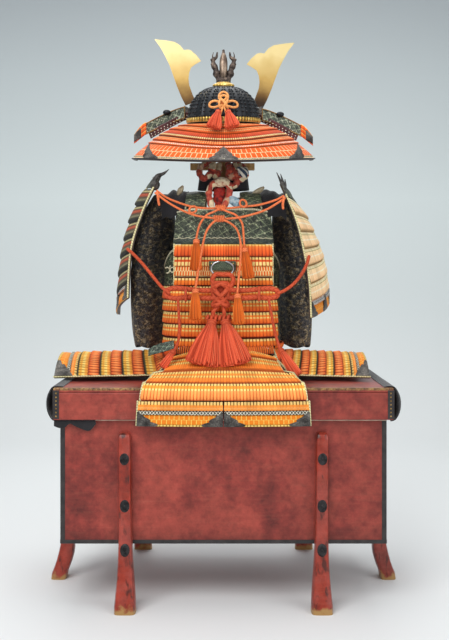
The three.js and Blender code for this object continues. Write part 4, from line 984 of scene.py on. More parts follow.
board_leather = printed_leather("green_black_stencilled_leather", "#101513", "#949e78", "#e4deba", 2.3)
strap_leather = printed_leather("green_stencilled_strap_leather", "#1a211f", "#8a966c", "#d6d0ac", 2.2)
turn_flap = printed_leather("pale_marked_flap_leather", "#1c2824", "#8fa48c", "#d8dcc4", 1.7, 1.1)
hem_leather = printed_leather("dark_hem_leather", "#1e2422", "#6f7a62", "#8d9078", 1.6, 0.6)
pale_rim = braided_cord("pale_leather_rim", "#b8b394", "#e0dcc0", "#6a6a50", 1.0)


def leather_board(name, face, size, thick, stands_for, out=1, cols=60, rows=24, finishes=None,
                  slot="printed_leather", loop=False):
    """A wrapped wall whose UV is its flat size in cm."""
    obj = wrapped(name, face, np.linspace(0, 1, cols), np.linspace(0, 1, rows), thick,
                  finishes or [board_leather, backing], slot, stands_for, out, loop)
    layer = obj.data.uv_layers[0].uv
    flat = np.empty(len(obj.data.loops) * 2, np.float32)
    layer.foreach_get("vector", flat)
    layer.foreach_set("vector", (flat.reshape(-1, 2) * np.array(size) / 10).ravel().astype(np.float32))
    return obj


def back_board(u, v):
    side = 2 * u - 1
    high = BODY_TOP - 35 * np.maximum(0, np.abs(side) - 0.72) ** 1.2
    return outline(0.98 * side, BODY_FLAT, BODY_Y - 11 + 11 * v, high + (BODY_CHEST + 1.2 - high) * v)


leather_board("back_leather_board", back_board, (300, 98), 5, ["back_board"], rows=30)
leather_board("back_leather_hem", lambda u, v: raised(back_board, u + 0 * v, 0.845 + 0.145 * v + 0 * u, 0.9),
              (300, 15), 1.2, [], rows=6, finishes=[hem_leather, hem_leather])
wave = np.linspace(0.004, 0.996, 240)
tube("back_board_wavy_rim", raised(back_board, wave, 0.835 + 0.012 * np.sin(wave * 92), 1.4), 1.1,
     [pale_rim], "printed_leather", sides=6, pitch=5)
tube("back_board_top_rim", raised(back_board, wave, 0.0 * wave + 0.004, -1.5), 3.2, [pale_rim],
     "printed_leather", sides=8, pitch=6)


def dipped(u):
    return 52 * np.abs(np.sin(np.pi * u)) ** 1.5


def under_arm(u, v):
    turn = -(np.pi / 2 - 0.56 + 1.12 * u)
    high = BODY_CHEST - 14 - dipped(u)
    return outline(turn, BODY_X - 1, BODY_Y, high + (BODY_WAIST + 0.4 - high) * v)


def side_leather(u, v):
    turn = np.pi / 2 + (u - 0.5) * (1.12 + 0.38 * np.minimum(1, 2.5 * v))
    high = BODY_CHEST - 14 - dipped(u)
    return outline(turn, BODY_X - 9, BODY_Y - 9, high + (BODY_HEM + 6 - high) * v)


def front_leather(u, v):
    turn = np.pi + (u - 0.5) * (1.72 - 0.32 * v)
    return outline(turn, BODY_FLAT + (BODY_X - BODY_FLAT) * v, BODY_Y + 15, 982 + (BODY_HEM + 14 - 982) * v)


def front_board(u, v):
    turn = np.pi + (u - 0.5) * (1.5 + 0.22 * v)
    return outline(turn, BODY_FLAT, BODY_Y + 2 + 13 * v, 1032 - 47 * v)


leather_board("under_arm_leather_board", under_arm, (190, 110), 4, ["under_arm_board"], -1)
leather_board("side_leather_plate", side_leather, (230, 250), 3, ["side_plate"], 1, rows=40)
leather_board("front_chest_leather", front_leather, (270, 290), 3, ["front_leather"], 1, rows=40)
leather_board("front_leather_board", front_board, (290, 48), 5, ["front_board"], 1)
for label, face, out in (("left", under_arm, -1), ("right", side_leather, 1)):
    tube(f"arm_edge_rim_{label}", raised(face, wave, 0 * wave + 0.004, -1.5, out), 3.0, [pale_rim],
         "printed_leather", sides=8, pitch=6)

# Padded leather straps run over the shoulder bar, each with a toggle of horn and a stitched edge.
STRAP_RUN = [(-106, 1066), (-96, 1086), (-62, 1104), (0, 1111), (62, 1104), (104, 1078), (118, 1040)]
horn_toggle = mottled("polished_horn_toggle", [(0.3, "#8f7e62"), (0.7, "#cbbd9c")], 80.0, 3.0,
                      Roughness=0.35, IOR=1.55)
for side, label in SIDES:
    def strap(u, v):
        at = through(np.linspace(0, 1, 7), STRAP_RUN, np.clip(v, 0, 1) + 0 * u)
        x = side * (54 + 54 * u - 6 * np.sin(np.pi * v))
        return np.stack([x, at[..., 0], at[..., 1] - 3 * (2 * u - 1) ** 2], -1)
    leather_board(f"shoulder_strap_leather_{label}",
                  lambda u, v: raised(strap, u + 0 * v, v + 0 * u, 4, side), (54, 330), 9,
                  [f"shoulder_strap_{label}"], side, 20, 60, [strap_leather, strap_leather])
    for number, u in enumerate((0.03, 0.97)):
        tube(f"strap_rim_{label}_{number}",
             raised(strap, np.full(60, u), np.linspace(0.0, 1, 60), 3.0, side), 2.4, [pale_rim],
             "printed_leather", toward=(1, 0, 0), sides=8, pitch=6)
for label, points in (("left", [(-128, -70, 1104), (-122, -72, 1114), (-116, -72, 1124)]),
                      ("right", [(86, -66, 1108), (98, -66, 1112), (112, -64, 1122)])):
    path = smooth_path(points, 2.5)
    swell = 3.0 + 5.0 * np.sin(np.linspace(0.2, np.pi - 0.2, len(path))) ** 0.8
    tube(f"strap_toggle_{label}", path, swell, [horn_toggle], "printed_leather", sides=12)


# Shoulder guards: broad laced panels hung from the shoulders. Each row curves forward round the arm; the
# last is split in two amber plates with dark metal corners, and the head is a leather board with a metal
# edge.
GUARD_EDGES = {  # z and x down the back edge, then down the front edge
    -1: ([(1140, 176), (1114, 191), (1030, 228), (957, 250), (870, 259), (812, 261)],
         [(1160, 214), (1139, 231), (1050, 276), (965, 298), (870, 312), (752, 319)]),
    1: ([(1122, 158), (1095, 170), (1029, 197), (935, 220), (870, 232), (757, 239)],
        [(1098, 202), (1070, 228), (968, 280), (882, 308), (830, 316), (788, 317)]),
}

guard_row = laced_silk(
    "cream_peach_braid_guard_row",
    [(0.0, "#7a6238"), (0.05, "#e4b878"), (0.08, "#fff6d0"), (0.2, "#fff0bc"), (0.23, "#a08a58"),
     (0.27, "#ffe2b0"), (0.5, "#ffdcac"), (0.55, "#fffbe0"), (0.62, "#ffdcac"), (0.9, "#ffd09c"),
     (1.0, "#b89460")],
    [(0.0, "#7a6238"), (0.08, "#e0b474"), (0.24, "#a08a58"), (0.28, "#fccb94"), (0.6, "#fcc48c"),
     (1.0, "#b89460")])
# Painted shade: the left guard is laced in dark colours for the shade on its face turned away from the
# light, with the pattern's red and cream showing through.
painted_side_shade_row = laced_silk(
    "painted_side_shade_dark_braid_guard_row",
    [(0.0, "#24221c"), (0.1, "#3c382c"), (0.18, "#d8c890"), (0.27, "#4a4432"), (0.42, "#c4583a"),
     (0.6, "#4a4030"), (0.78, "#8a8464"), (0.86, "#3c382c"), (1.0, "#24221c")],
    [(0.0, "#1c1b17"), (0.3, "#3c3426"), (0.5, "#6c3424"), (0.75, "#3c3426"), (1.0, "#1c1b17")])
guard_knots = laced_silk(
    "grey_white_guard_knots",
    [(0.0, "#ee8a34"), (0.12, "#ee8a34"), (0.2, "#6a6a6c"), (0.8, "#6a6a6c"), (0.88, "#ee8a34"),
     (1.0, "#8a4a20")],
    [(0.0, "#b85a24"), (0.5, "#57585c"), (1.0, "#7a3c1c")], "crosses", "#eceae0")


def guard(side):
    back, front = (np.array(line, float)[::-1] for line in GUARD_EDGES[side])

    def face(u, v):
        edges = []
        for line in (back, front):
            z = line[-2, 0] + (line[0, 0] - line[-2, 0]) * v
            edges.append((through(line[:, 0], line[:, 1], z), z))
        (x0, z0), (x1, z1) = edges
        x = side * (x0 + (x1 - x0) * u + 12 * (1 - (2 * u - 1) ** 2))
        hitch = 20 * max(0, side) * u * np.sin(np.pi * np.clip(v, 0, 1))
        return stacked(x, -150 + 300 * u + 0 * v, z0 + (z1 - z0) * u + hitch)
    return face


for side, label in SIDES:
    face, node = guard(side), f"shoulder_guard_{label}"
    tops = np.linspace(0.004, 0.86, 7)
    rows = [(a + 0.004, b - 0.002, 0, 0.9) for a, b in zip(tops, tops[1:])]
    # The right guard takes the cream and peach row, the left the dark row painted in shade.
    laced(f"{node}_rows", face, rows + [(0.862, 0.905, 1, 0.6), (0.907, 0.998, 2, 0.5)], 52,
          [guard_row if side > 0 else painted_side_shade_row, guard_knots, amber_cells, backing], "laced_rows", [node],
          side, proud=6)
    leather_board(f"{node}_leather", lambda u, v: raised(face, u + 0 * v, -0.085 + 0.081 * v + 0 * u, 1.5,
                                                         side),
                  (300, 34), 5, [f"{node}_board"], side, rows=10)
    edge_cord(f"{node}_edge_cord", face, 2.0, side, rows=60, v1=0.99)
    for number, (corner, far) in enumerate(((0.0, 0.16), (0.5, 0.36), (0.5, 0.64), (1.0, 0.84))):
        mount(f"{node}_mount_{number}", face, corner, far, 0.865, 0.998, side, 6.5)
    rim = np.linspace(0.0, 1.0, 60)
    tube(f"{node}_head_rim", raised(face, rim, 0 * rim - 0.086, 0, side), 3.2, [dark_bronze],
         "printed_leather", sides=8)

# Each guard's head carries a dark metal spur that the cords tie to: a curved beak on one, three prongs on
# the other.
spur_at = raised(guard(-1), np.array([0.06]), np.array([-0.06]), 0.0)[0]
path = smooth_path([spur_at + (-4, -5, -12), spur_at + (-1, -3, 4), spur_at + (8, -1, 16),
                    spur_at + (20, 1, 22), spur_at + (34, 2, 33)], 2)
beak = 1.0 + 12.5 * (1 - np.linspace(0, 1, len(path))) ** 1.1 * (1
                                                                 + 0.12 * np.sin(np.linspace(0, 18,
                                                                                             len(path))))
tube("left_guard_spur", path, beak, [dark_bronze], "dark_bronze", sides=14)
spur_at = raised(guard(1), np.array([0.06]), np.array([-0.06]), 0.0)[0]
for number, (lean, rise) in enumerate(((-20, 44), (-9, 40), (3, 26))):
    path = smooth_path([spur_at + (2, number * 2 - 5, -8),
                        spur_at + (lean * 0.3 - 3 + 3 * number, number * 2 - 5, rise * 0.45),
                        spur_at + (lean, number * 3 - 5, rise)], 2)
    tube(f"right_guard_prong_{number}", path, 5.0 - 4.0 * np.linspace(0, 1, len(path)) ** 1.5, [dark_bronze],
         "dark_bronze")


# Sleeves of near-black silk brocade, hung empty from the shoulders. Gold-brown flowers with grey scrolls are
# woven in; the cloth falls in long upright folds with small cross creases at the elbow.
SLEEVE_LINES = {
    -1: [(1106, 142, 202), (1060, 142, 230), (985, 143, 256), (940, 147, 266), (912, 156, 268),
         (893, 165, 269), (870, 167, 270), (850, 167, 270), (760, 167, 268), (705, 167, 264),
         (666, 167, 258)],
    1: [(1096, 142, 190), (1050, 142, 210), (985, 143, 230), (940, 146, 244), (912, 153, 249),
        (893, 161, 251), (870, 163.6, 253), (850, 164, 254), (760, 164, 257), (705, 164, 255),
        (666, 165, 252)],
}
SLEEVE_DEPTH = [(0, 40), (0.1, 54), (0.27, 62), (0.6, 60), (0.9, 50), (1, 46)]

brocade, tree = finish("black_brocade_gold_flowers", Roughness=0.62, Sheen_Weight=0.08)
source = add(tree, "TexCoord")
uv = source.outputs["UV"]
blossom = add(tree, "TexNoise", {"Vector": uv, "Scale": 0.75, "Detail": 5.0, "Roughness": 0.72,
                                 "Distortion": 0.6})
leaves = add(tree, "TexNoise", {"Vector": uv, "Scale": 1.9, "Detail": 3.0, "Roughness": 0.6,
                                "Distortion": 1.2})
flower = add(tree, "ValToRGB", {0: blossom}, [(0.46, "#000000"), (0.52, "#8c8c8c"), (0.6, "#ffffff")])
line = add(tree, "ValToRGB", {0: leaves}, [(0.46, "#000000"), (0.51, "#c8c8c8"), (0.56, "#303030"),
                                           (0.62, "#e0e0e0")])
ground = add(tree, "TexNoise", {"Vector": source.outputs["Object"], "Scale": 14.0, "Detail": 3.0})
dark = add(tree, "ValToRGB", {0: ground}, [(0.3, "#0c0c0f"), (0.75, "#18181d")])
with_lines = add(tree, "Mix", {0: line, 6: dark, 7: "#5a5e64"}, data_type="RGBA")
gold = add(tree, "ValToRGB", {0: leaves}, [(0.40, "#3e3424"), (0.5, "#88764f"), (0.62, "#b8ac8e")])
dressed = add(tree, "Mix", {0: flower, 6: with_lines.outputs[2], 7: gold}, data_type="RGBA")
twill = add(tree, "TexWave", {"Vector": uv, "Scale": 6.0}, bands_direction="DIAGONAL")
dress(tree, dressed, twill, 0.25, 0.4)

for side, label in SIDES:
    def sleeve(u, v):
        line = np.array(SLEEVE_LINES[side], float)[::-1]
        z = line[-1, 0] + (line[0, 0] - line[-1, 0]) * v
        inner, outer = through(line[:, 0], line[:, 1], z), through(line[:, 0], line[:, 2], z)
        depth = through(*np.array(SLEEVE_DEPTH, float).T, v)
        turn = 2 * np.pi * u
        low = np.clip(v, 0, 1)
        fold = (1 + 0.035 * low * np.sin(7 * turn + 2.5 * np.sin(3 * v) + side)
                + 0.03 * np.sin(21 * v + 1 + 1.5 * np.cos(turn)) * np.sin(turn) ** 2
                + 0.025 * np.exp(-((v - 0.42) / 0.09) ** 2) * np.sin(46 * v + 3 * np.cos(turn + 0.6)))
        half = (outer - inner) / 2
        x = side * ((inner + outer) / 2 + half * np.cos(turn) * fold)
        hold = np.clip((v - 0.05) / 0.25, 0, 1)
        tuck = 84 * hold**2 * (3 - 2 * hold) * (0.5 - 0.5 * np.cos(turn))
        y = 2 + 18 * np.minimum(1, 3 * v) + depth * np.sin(turn) * fold + tuck
        return stacked(x, y, z + 0 * u - 5 * low ** 4 * np.sin(3 * turn))
    obj = leather_board(f"brocade_sleeve_{label}", sleeve, (300, 440), 2, [f"sleeve_{label}"], side, 145, 90,
                        [brocade, cotton], "brocade", True)


# The sleeves' yokes: brocade caps that join each sleeve to the lining and lie over the end of the shoulder
# bar.
YOKE_RUN = [(-90, 1044), (-88, 1078), (-66, 1104), (-22, 1117), (30, 1115), (70, 1098), (92, 1062)]
for side, label in SIDES:
    def yoke(u, v):
        at = through(np.linspace(0, 1, 7), YOKE_RUN, np.clip(v, 0, 1) + 0 * u)
        ruck = 3.2 * np.sin(9 * u + 7 * v + side) + 2.2 * np.sin(17 * u - 5 * v)
        x = side * (100 + 74 * u + 2.5 * np.sin(14 * v + side))
        return np.stack([x, at[..., 0] + 0.4 * ruck, at[..., 1] + ruck - 13 * u**2 - 4 * (1 - u) ** 4], -1)
    obj = leather_board(f"sleeve_yoke_{label}", yoke, (74, 270), 2, [], side, 50, 70, [brocade, cotton],
                        "brocade")


# A hip flap of stencilled leather lies over the head of the left side skirt, at the end of the body's wrap.
def hip_flap(u, v):
    curl = 5 * np.sin(3.1 * u + 5 * v)
    return stacked(-138 - 72 * u, -112 - 6 * v + 14 * u, 694 - 26 * np.abs(u) ** 1.3 - 24 * v + curl * u)


obj = leather_board("hip_flap_left", hip_flap, (76, 36), 2.4, [], -1, 40, 18, [turn_flap, backing])
# Cream twists of hemp tie the left under-arm board to the wrap.
for number, (dx, dz, bend) in enumerate(((-12, 6, 4), (-9, -8, -3), (10, 7, 3), (12, -4, -4), (2, 11, 5))):
    twist = smooth_path([(-150, -92, 889), (-150 + dx * 0.5, -97, 889 + dz * 0.6 + bend),
                         (-150 + dx, -95, 889 + dz)], 1.5)
    tube(f"left_hemp_tie_{number}", twist, 1.7, [pale_rim], "silk_cord", toward=(0, 1, 0.2), sides=8,
         pitch=6)


# The collar: a stiff band of dark quilted cotton standing round the neck.
def collar(u, v):
    turn = 2 * np.pi * u
    top = 1158 - 8 * np.cos(turn)
    return np.stack([(70 + 5 * v) * np.sin(turn), -4 - (46 + 4 * v) * np.cos(turn),
                     top + (1119.5 - top) * v], -1)


navy_quilt, tree = finish("navy_quilted_cotton", Roughness=0.9, Sheen_Weight=0.3)
place = add(tree, "TexCoord")
quilt = add(tree, "TexWave", {"Vector": place.outputs["UV"], "Scale": 0.9}, bands_direction="Y")
tone = add(tree, "ValToRGB", {0: add(tree, "TexNoise", {"Vector": place.outputs["Object"], "Scale": 60.0})},
           [(0.35, "#17161c"), (0.7, "#2c2a33")])
dress(tree, tone, quilt, 0.6, 1)
obj = leather_board("quilted_collar", collar, (380, 38), 3, ["collar"], 1, 97, 16, [navy_quilt, navy_quilt],
                    "brocade", True)


# Neck padding: tubes of crumpled red silk, stuffed with cotton and patched with cream, tied round the neck.
# Two short loops hang from the head bar and one long loop drops between the shoulder straps.
NECK_TUBES = [
    [(-50, -22, 1196), (-66, -44, 1180), (-66, -60, 1158), (-54, -66, 1148), (-40, -60, 1160),
     (-34, -30, 1192)],
    [(-30, -30, 1192), (-30, -52, 1172), (-22, -56, 1156), (-14, -40, 1170), (-12, -24, 1190)],
    [(14, -24, 1192), (18, -52, 1174), (14, -60, 1156), (26, -62, 1150), (32, -50, 1172), (32, -26, 1192)],
    [(44, -22, 1192), (60, -44, 1178), (62, -58, 1156), (50, -64, 1146), (36, -60, 1158), (34, -30, 1178)],
    [(-30, -100, 1056), (-37, -99, 1080), (-41, -95, 1104), (-34, -88, 1126), (-10, -84, 1137),
     (12, -86, 1130), (17, -92, 1108), (8, -97, 1080), (-4, -100, 1056)],
    [(34, -62, 1150), (38, -68, 1136), (28, -72, 1126), (14, -74, 1128)],
]

red_quilt, tree = finish("crumpled_red_silk_cream_patches", Roughness=0.75, Sheen_Weight=0.3)
source = add(tree, "TexCoord")
patch = add(tree, "TexVoronoi", {"Vector": source.outputs["Object"], "Scale": 46.0})
red = add(tree, "ValToRGB",
          {0: add(tree, "TexNoise", {"Vector": source.outputs["Object"], "Scale": 90.0, "Detail": 4.0})},
          [(0.3, "#8a2419"), (0.5, "#b8402c"), (0.7, "#d46848")])
pick = add(tree, "SeparateXYZ", {0: patch.outputs["Color"]})
cream = add(tree, "MapRange", {"Value": pick.outputs["X"], "From Min": 0.58, "From Max": 0.62})
patched = add(tree, "Mix", {0: cream, 6: red, 7: "#e6cfa8"}, data_type="RGBA")
wrinkle = add(tree, "TexNoise", {"Vector": source.outputs["Object"], "Scale": 120.0, "Detail": 4.0})
dress(tree, patched, wrinkle, 0.6, 1.5)
for number, line in enumerate(NECK_TUBES):
    path = smooth_path(line, 2.0)
    along = np.linspace(0, 1, len(path))
    puffs = 8.8 + 0.9 * np.sin(along * 40 + number) + 0.5 * np.sin(along * 83)
    obj = tube(f"stuffed_neck_tube_{number}", path, puffs, [red_quilt], "quilted_cotton",
               ["neck_cord"] if number == 0 else (), toward=(0.2, 1, 0.3), sides=20)


def crumpled(name, dark, shade, light, stripes=None):
    """Soft crumpled cloth, clouded from dark to light, with printed stripes where a pale colour is given."""
    made, tree = finish(name, Roughness=0.8, Sheen_Weight=0.3)
    place = add(tree, "TexCoord").outputs["Object"]
    cloud = add(tree, "TexNoise", {"Vector": place, "Scale": 80.0, "Detail": 4.0})
    tone = add(tree, "ValToRGB", {0: cloud}, [(0.34, dark), (0.5, shade), (0.66, light)])
    if stripes:
        band = add(tree, "TexWave", {"Vector": place, "Scale": 30.0, "Distortion": 3.0},
                   bands_direction="DIAGONAL")
        drawn = add(tree, "ValToRGB", {0: band.outputs["Fac"]}, [(0.45, "#000000"), (0.55, "#ffffff")])
        tone = add(tree, "Mix", {0: drawn, 6: tone, 7: stripes}, data_type="RGBA")
    dress(tree, tone, cloud, 0.8, 2)
    return made


cream_quilt = crumpled("cream_and_red_crumpled_silk", "#a8402c", "#e0c8a4", "#f2e2c4")
deep_red = crumpled("deep_red_crumpled_silk", "#5a0e0c", "#a81e14", "#d43a22")
striped = crumpled("striped_blue_cotton", "#1e2836", "#2c3c50", "#3a4c60", "#e6ded0")
pale_blue = crumpled("pale_blue_cotton", "#4a6272", "#8aa6b4", "#c4d2d6")


def blob(name, rings, finishes, slot, stands_for=(), pinch=0.0, folds=5):
    """A closed bundle from rings of (x, y, z, half width, half depth), scalloped all round by folds."""
    rings = np.array(rings, float)
    at = through(np.linspace(0, 1, len(rings)), rings, np.linspace(0, 1, 5 * len(rings)))
    turn = np.linspace(0, 2 * np.pi, 24, endpoint=False)[:, None]
    swell = 1 + pinch * np.sin(folds * turn + at[:, 2] * 0.2)
    grid = np.stack([at[:, 0] + at[:, 3] * swell * np.cos(turn), at[:, 1] + at[:, 4] * swell * np.sin(turn),
                     at[:, 2] + 0 * turn], -1)
    return swept(name, grid, finishes, slot, stands_for, sharp=70)


blob("neck_tie_knot", [(-10, -88, 1122, 6, 4), (-9, -89, 1128, 20, 8), (-8, -88, 1136, 24, 9),
                       (-7, -86, 1144, 18, 8), (-6, -84, 1150, 6, 4)], [cream_quilt], "quilted_cotton",
     pinch=0.12, folds=6)
blob("crumpled_neck_cloth", [(-12, -84, 1058, 6, 4), (-12, -84, 1072, 11, 6), (-12, -82, 1092, 14, 7),
                             (-12, -78, 1108, 15, 7), (-11, -76, 1120, 12, 6), (-11, -74, 1128, 5, 3)],
     [deep_red], "quilted_cotton", ["neck_cloth"], pinch=0.2, folds=7)
blob("striped_neck_tie", [(46, -62, 1182, 6, 5), (52, -64, 1176, 13, 8), (56, -64, 1164, 15, 9),
                          (54, -62, 1150, 12, 8), (50, -60, 1140, 5, 4)], [striped], "quilted_cotton",
     pinch=0.1, folds=5)
blob("pale_blue_neck_tie", [(16, -96, 1098, 5, 3), (24, -97, 1092, 14, 6), (30, -98, 1080, 17, 6),
                            (34, -98, 1070, 10, 5), (38, -98, 1064, 4, 3)], [pale_blue], "quilted_cotton",
     pinch=0.12, folds=5)


# The helmet bowl: black iron plates riveted side by side, each with a raised rib and rows of small studs.
# A petalled gilt ring closes the crown, and a gilt band with a row of petals runs round the rim.
HELMET_Y, HELMET_Z, HELMET_TILT = 10, 1318, 0.09
BOWL_X, BOWL_HIGH, BOWL_LONG, BOWL_POWER, CROWN_AT = 103, 104, 1.08, 0.87, 0.86
RIBS = 20


def seated(points):
    """From the helmet's own frame to the stand's: tipped forward a little, then set on the crown."""
    x, y, z = np.moveaxis(np.asarray(points, float), -1, 0)
    cos, sin = np.cos(HELMET_TILT), np.sin(HELMET_TILT)
    return np.stack([x, HELMET_Y + y * cos - z * sin, HELMET_Z + z * cos + y * sin], -1)


def bowl(u, v):
    """A dome |cos t|^p by |sin t|^p, from the crown hole down to the rim; u turns it round."""
    t = (CROWN_AT - CROWN_AT * v) * np.pi / 2
    turn = 2 * np.pi * u
    reach = BOWL_X * np.cos(t) ** BOWL_POWER
    return seated(stacked(reach * np.sin(turn), -BOWL_LONG * reach * np.cos(turn),
                          BOWL_HIGH * np.maximum(np.sin(t), 1e-9) ** BOWL_POWER))


black_iron = mottled("black_iron_bowl_plates", [(0.3, "#101215"), (0.55, "#1e2227"), (0.78, "#35363a")],
                     55.0, 6.0, grain=0.65, bump=(0.3, 0.8), Metallic=0.55, Roughness=0.42, Coat_Weight=0.2,
                     Coat_Roughness=0.4)

gilt = mottled("fire_gilt_copper", [(0.3, "#a8823e"), (0.5, "#d8b45e"), (0.72, "#efd48c")], 45.0, 5.0,
               bump=(0.15, 0.6), Metallic=0.9, Roughness=0.34)

wrapped("ribbed_helmet_bowl", bowl, np.linspace(0, 1, RIBS * 12 + 1), np.linspace(0.005, 0.995, 40), 3,
        [black_iron, backing], "bowl_iron", ["helmet_bowl"], 1, True,
        lambda u, v: 2.4 * np.exp(-((((u * RIBS + 0.5) % 1 - 0.5) / 0.09) ** 2)) * np.minimum(1, 6 * v),
        sharp=40)
for number, (first, last, count, size) in enumerate(((0.60, 0.93, 5, 4.3), (0.34, 0.53, 3, 3.5),
                                                     (0.14, 0.27, 2, 2.4))):
    column, row = np.meshgrid(np.arange(2 * RIBS), np.linspace(first, last, count), indexing="ij")
    spot = (column + 0.5 - 0.12 * (-1.0) ** column) / (2 * RIBS)
    rivet_out = raised(bowl, spot, row, 1.0) - bowl(spot, row)
    studs(f"helmet_bowl_rivets_{number}", bowl(spot, row).reshape(-1, 3), rivet_out.reshape(-1, 3),
          (size, size * 0.8, size), black_iron, "bowl_iron", 8, 3)

turn = np.linspace(0, 2 * np.pi, 120, endpoint=False)
crown_z = BOWL_HIGH * np.sin(CROWN_AT * np.pi / 2) ** BOWL_POWER + 1.2
ring = through(np.linspace(0, 1, 6), [(12, 0), (29, 0), (28, 6), (21, 9), (19, 12), (13, 13)],
               np.linspace(0, 1, 22))
scallop = 1 + 0.07 * np.abs(np.sin(8 * turn))[:, None] * (ring[:, 0] > 19)
grid = np.stack([ring[:, 0] * scallop * np.sin(turn)[:, None], -ring[:, 0] * scallop * np.cos(turn)[:, None],
                 crown_z + ring[:, 1] + 0 * turn[:, None]], -1)
swept("petalled_crown_ring", seated(grid).transpose(1, 0, 2), [gilt], "gilt_metal", ["helmet_top_ring"],
      True, sharp=40)


def rim_band(u, v):
    turn = 2 * np.pi * u
    reach = 106.4 - 0.8 * v
    return seated(stacked(reach * np.sin(turn), -reach * BOWL_LONG * np.cos(turn), 9.0 - 11 * v))


wrapped("helmet_rim_band", rim_band, np.linspace(0, 1, 181), np.linspace(0.01, 0.99, 12), 2, [black_iron],
        "gilt_metal", ["helmet_band"], 1, True)
# Petals: upright tongues of gilt sheet, domed across, with dark gaps between.
PETALS, PETAL_V = 68, 0.46
spin = np.arange(PETALS) / PETALS
petal_at = rim_band(spin, 0 * spin + PETAL_V)
studs("helmet_rim_petals", petal_at, raised(rim_band, spin, 0 * spin + PETAL_V, 1.0) - petal_at,
      (4.2, 7.0, 2.6), gilt, "gilt_metal", 14, 3)
for number, v in enumerate((0.04, 0.97)):
    spin = np.linspace(0, 1, 180, endpoint=False)
    line = raised(rim_band, spin, 0 * spin + v, 0.6)
    hoop = np.linspace(0, 2 * np.pi, 8, endpoint=False)[:, None, None]
    away = (line - line.mean(0)) / np.linalg.norm(line - line.mean(0), axis=-1, keepdims=True)
    swept(f"helmet_rim_wire_{number}",
          line + 1.1 * (np.cos(hoop) * np.array([0, 0, 1.0]) + np.sin(hoop) * away), [gilt], "gilt_metal",
          loop=True)


# The neck guard: five laced rows sweeping out into a wide brim, fine peach braids near the bowl and a woven
# band above the edge. A thin lacquered lip finishes it.
def brim(u, v):
    turn = -1.75 + 3.5 * u
    flank = np.sin(turn) ** 2
    reach = 107 + (232 + 32 * flank - 107) * v
    drop = (108 - 10 * flank) * np.maximum(v, 1e-9) ** (1.05 + 0.65 * flank)
    oblong = BOWL_LONG - 0.08 * v
    return seated(stacked(reach * np.sin(turn), -reach * oblong * np.cos(turn), -9 - drop))


brim_fine = laced_silk(
    "peach_braid_two_stitch_lines",
    [(0.0, "#a04012"), (0.06, "#f2742e"), (0.11, "#ffdc98"), (0.2, "#ffd48e"), (0.26, "#f4762f"),
     (0.5, "#f57a34"), (0.56, "#ffdc98"), (0.64, "#ffd48e"), (0.7, "#f2722c"), (0.94, "#ea6625"),
     (1.0, "#a04012")],
    [(0.0, "#6e2c10"), (0.1, "#a8420f"), (0.26, "#d8571c"), (0.5, "#b04814"), (0.6, "#a8420f"),
     (0.75, "#d8571c"), (1.0, "#8a3a10")], gap=0.4)
brim_red = laced_silk(
    "red_orange_open_lacing",
    [(0.0, "#b84516"), (0.08, "#f0642a"), (0.45, "#ea4f20"), (0.66, "#cc3c18"), (0.72, "#ffe2a4"),
     (0.88, "#fbd88a"), (0.92, "#c04a1c"), (1.0, "#8a4020")],
    [(0.0, "#a83716"), (0.3, "#7c2612"), (0.6, "#4a160a"), (0.85, "#6a200e"), (1.0, "#5a1e0c")], gap=0.36)
brim_zigzag = laced_silk(
    "white_zigzag_band",
    [(0.0, "#a84a1c"), (0.12, "#e2662c"), (0.88, "#e2662c"), (1.0, "#a84a1c")],
    [(0.0, "#a84a1c"), (0.5, "#e2662c"), (1.0, "#a84a1c")], "zigzag", "#fffbe8")
brim_tree = woven_cells("orange_band_cream_cells", "#ee641c", "#ea5a16", "#fbe0ac", 1.85, 3)
laced("neck_guard_rows", brim,
      [(0.002, 0.16, 0, 0.7), (0.163, 0.32, 0, 0.7), (0.324, 0.51, 1, 0.9), (0.514, 0.62, 2, 0.7),
       (0.623, 0.70, 3, 0.5), (0.703, 0.955, 4, 0.15), (0.957, 0.998, 5, 0.6)],
      96, [brim_fine, brim_red, brim_fine, brim_zigzag, brim_tree, guard_row, backing], "laced_rows",
      ["neck_guard"], 1, 4, 3.5, 0.9)
for label, v, radius, silk in (("cream", 0.956, 1.7, pale_rim), ("dark", 0.996, 2.0, black_lacquer)):
    spin = np.linspace(0.0, 1.0, 200)
    tube(f"neck_guard_{label}_edge", raised(brim, spin, 0 * spin + v, 2.6), radius, [silk], "laced_rows",
         toward=(0, 0, 1), sides=8)
for number, (corner, far) in enumerate(((0.5, 0.45), (0.5, 0.55), (0.237, 0.275), (0.237, 0.2),
                                        (0.763, 0.725), (0.763, 0.8))):
    lean = 0 if number < 2 else (-0.1 if corner < 0.5 else 0.1)
    mount(f"neck_guard_mount_{number}", brim, corner, far, 0.66 if number < 2 else 0.72, 0.995, 1, 4.2,
          lean=lean)


# The visor of printed leather over an iron plate, and the turn-backs where the neck guard's first row folds
# outward at the brow: green leather with a thin gilt rim, a black knob, and red-lacquered scales beneath.
def visor(u, v):
    turn = np.pi - 1.05 + 2.1 * u
    reach = 109 + 46 * v
    return seated(stacked(reach * np.sin(turn), -reach * BOWL_LONG * np.cos(turn),
                          -5 - 22 * v - 10 * v * np.sin(turn) ** 2))


leather_board("leather_visor", visor, (240, 50), 3, ["helmet_visor"], 1, rows=14)
dark_red = mottled("dark_red_lacquer_scales", [(0.3, "#3a0f11"), (0.7, "#5e1a1c")], 30.0, Roughness=0.3,
                   Coat_Weight=0.4, Coat_Roughness=0.2)
white_thread = mottled("white_stitch_thread", [(0.3, "#d8cfb8"), (0.7, "#f6f0de")], 80.0, Roughness=0.8)

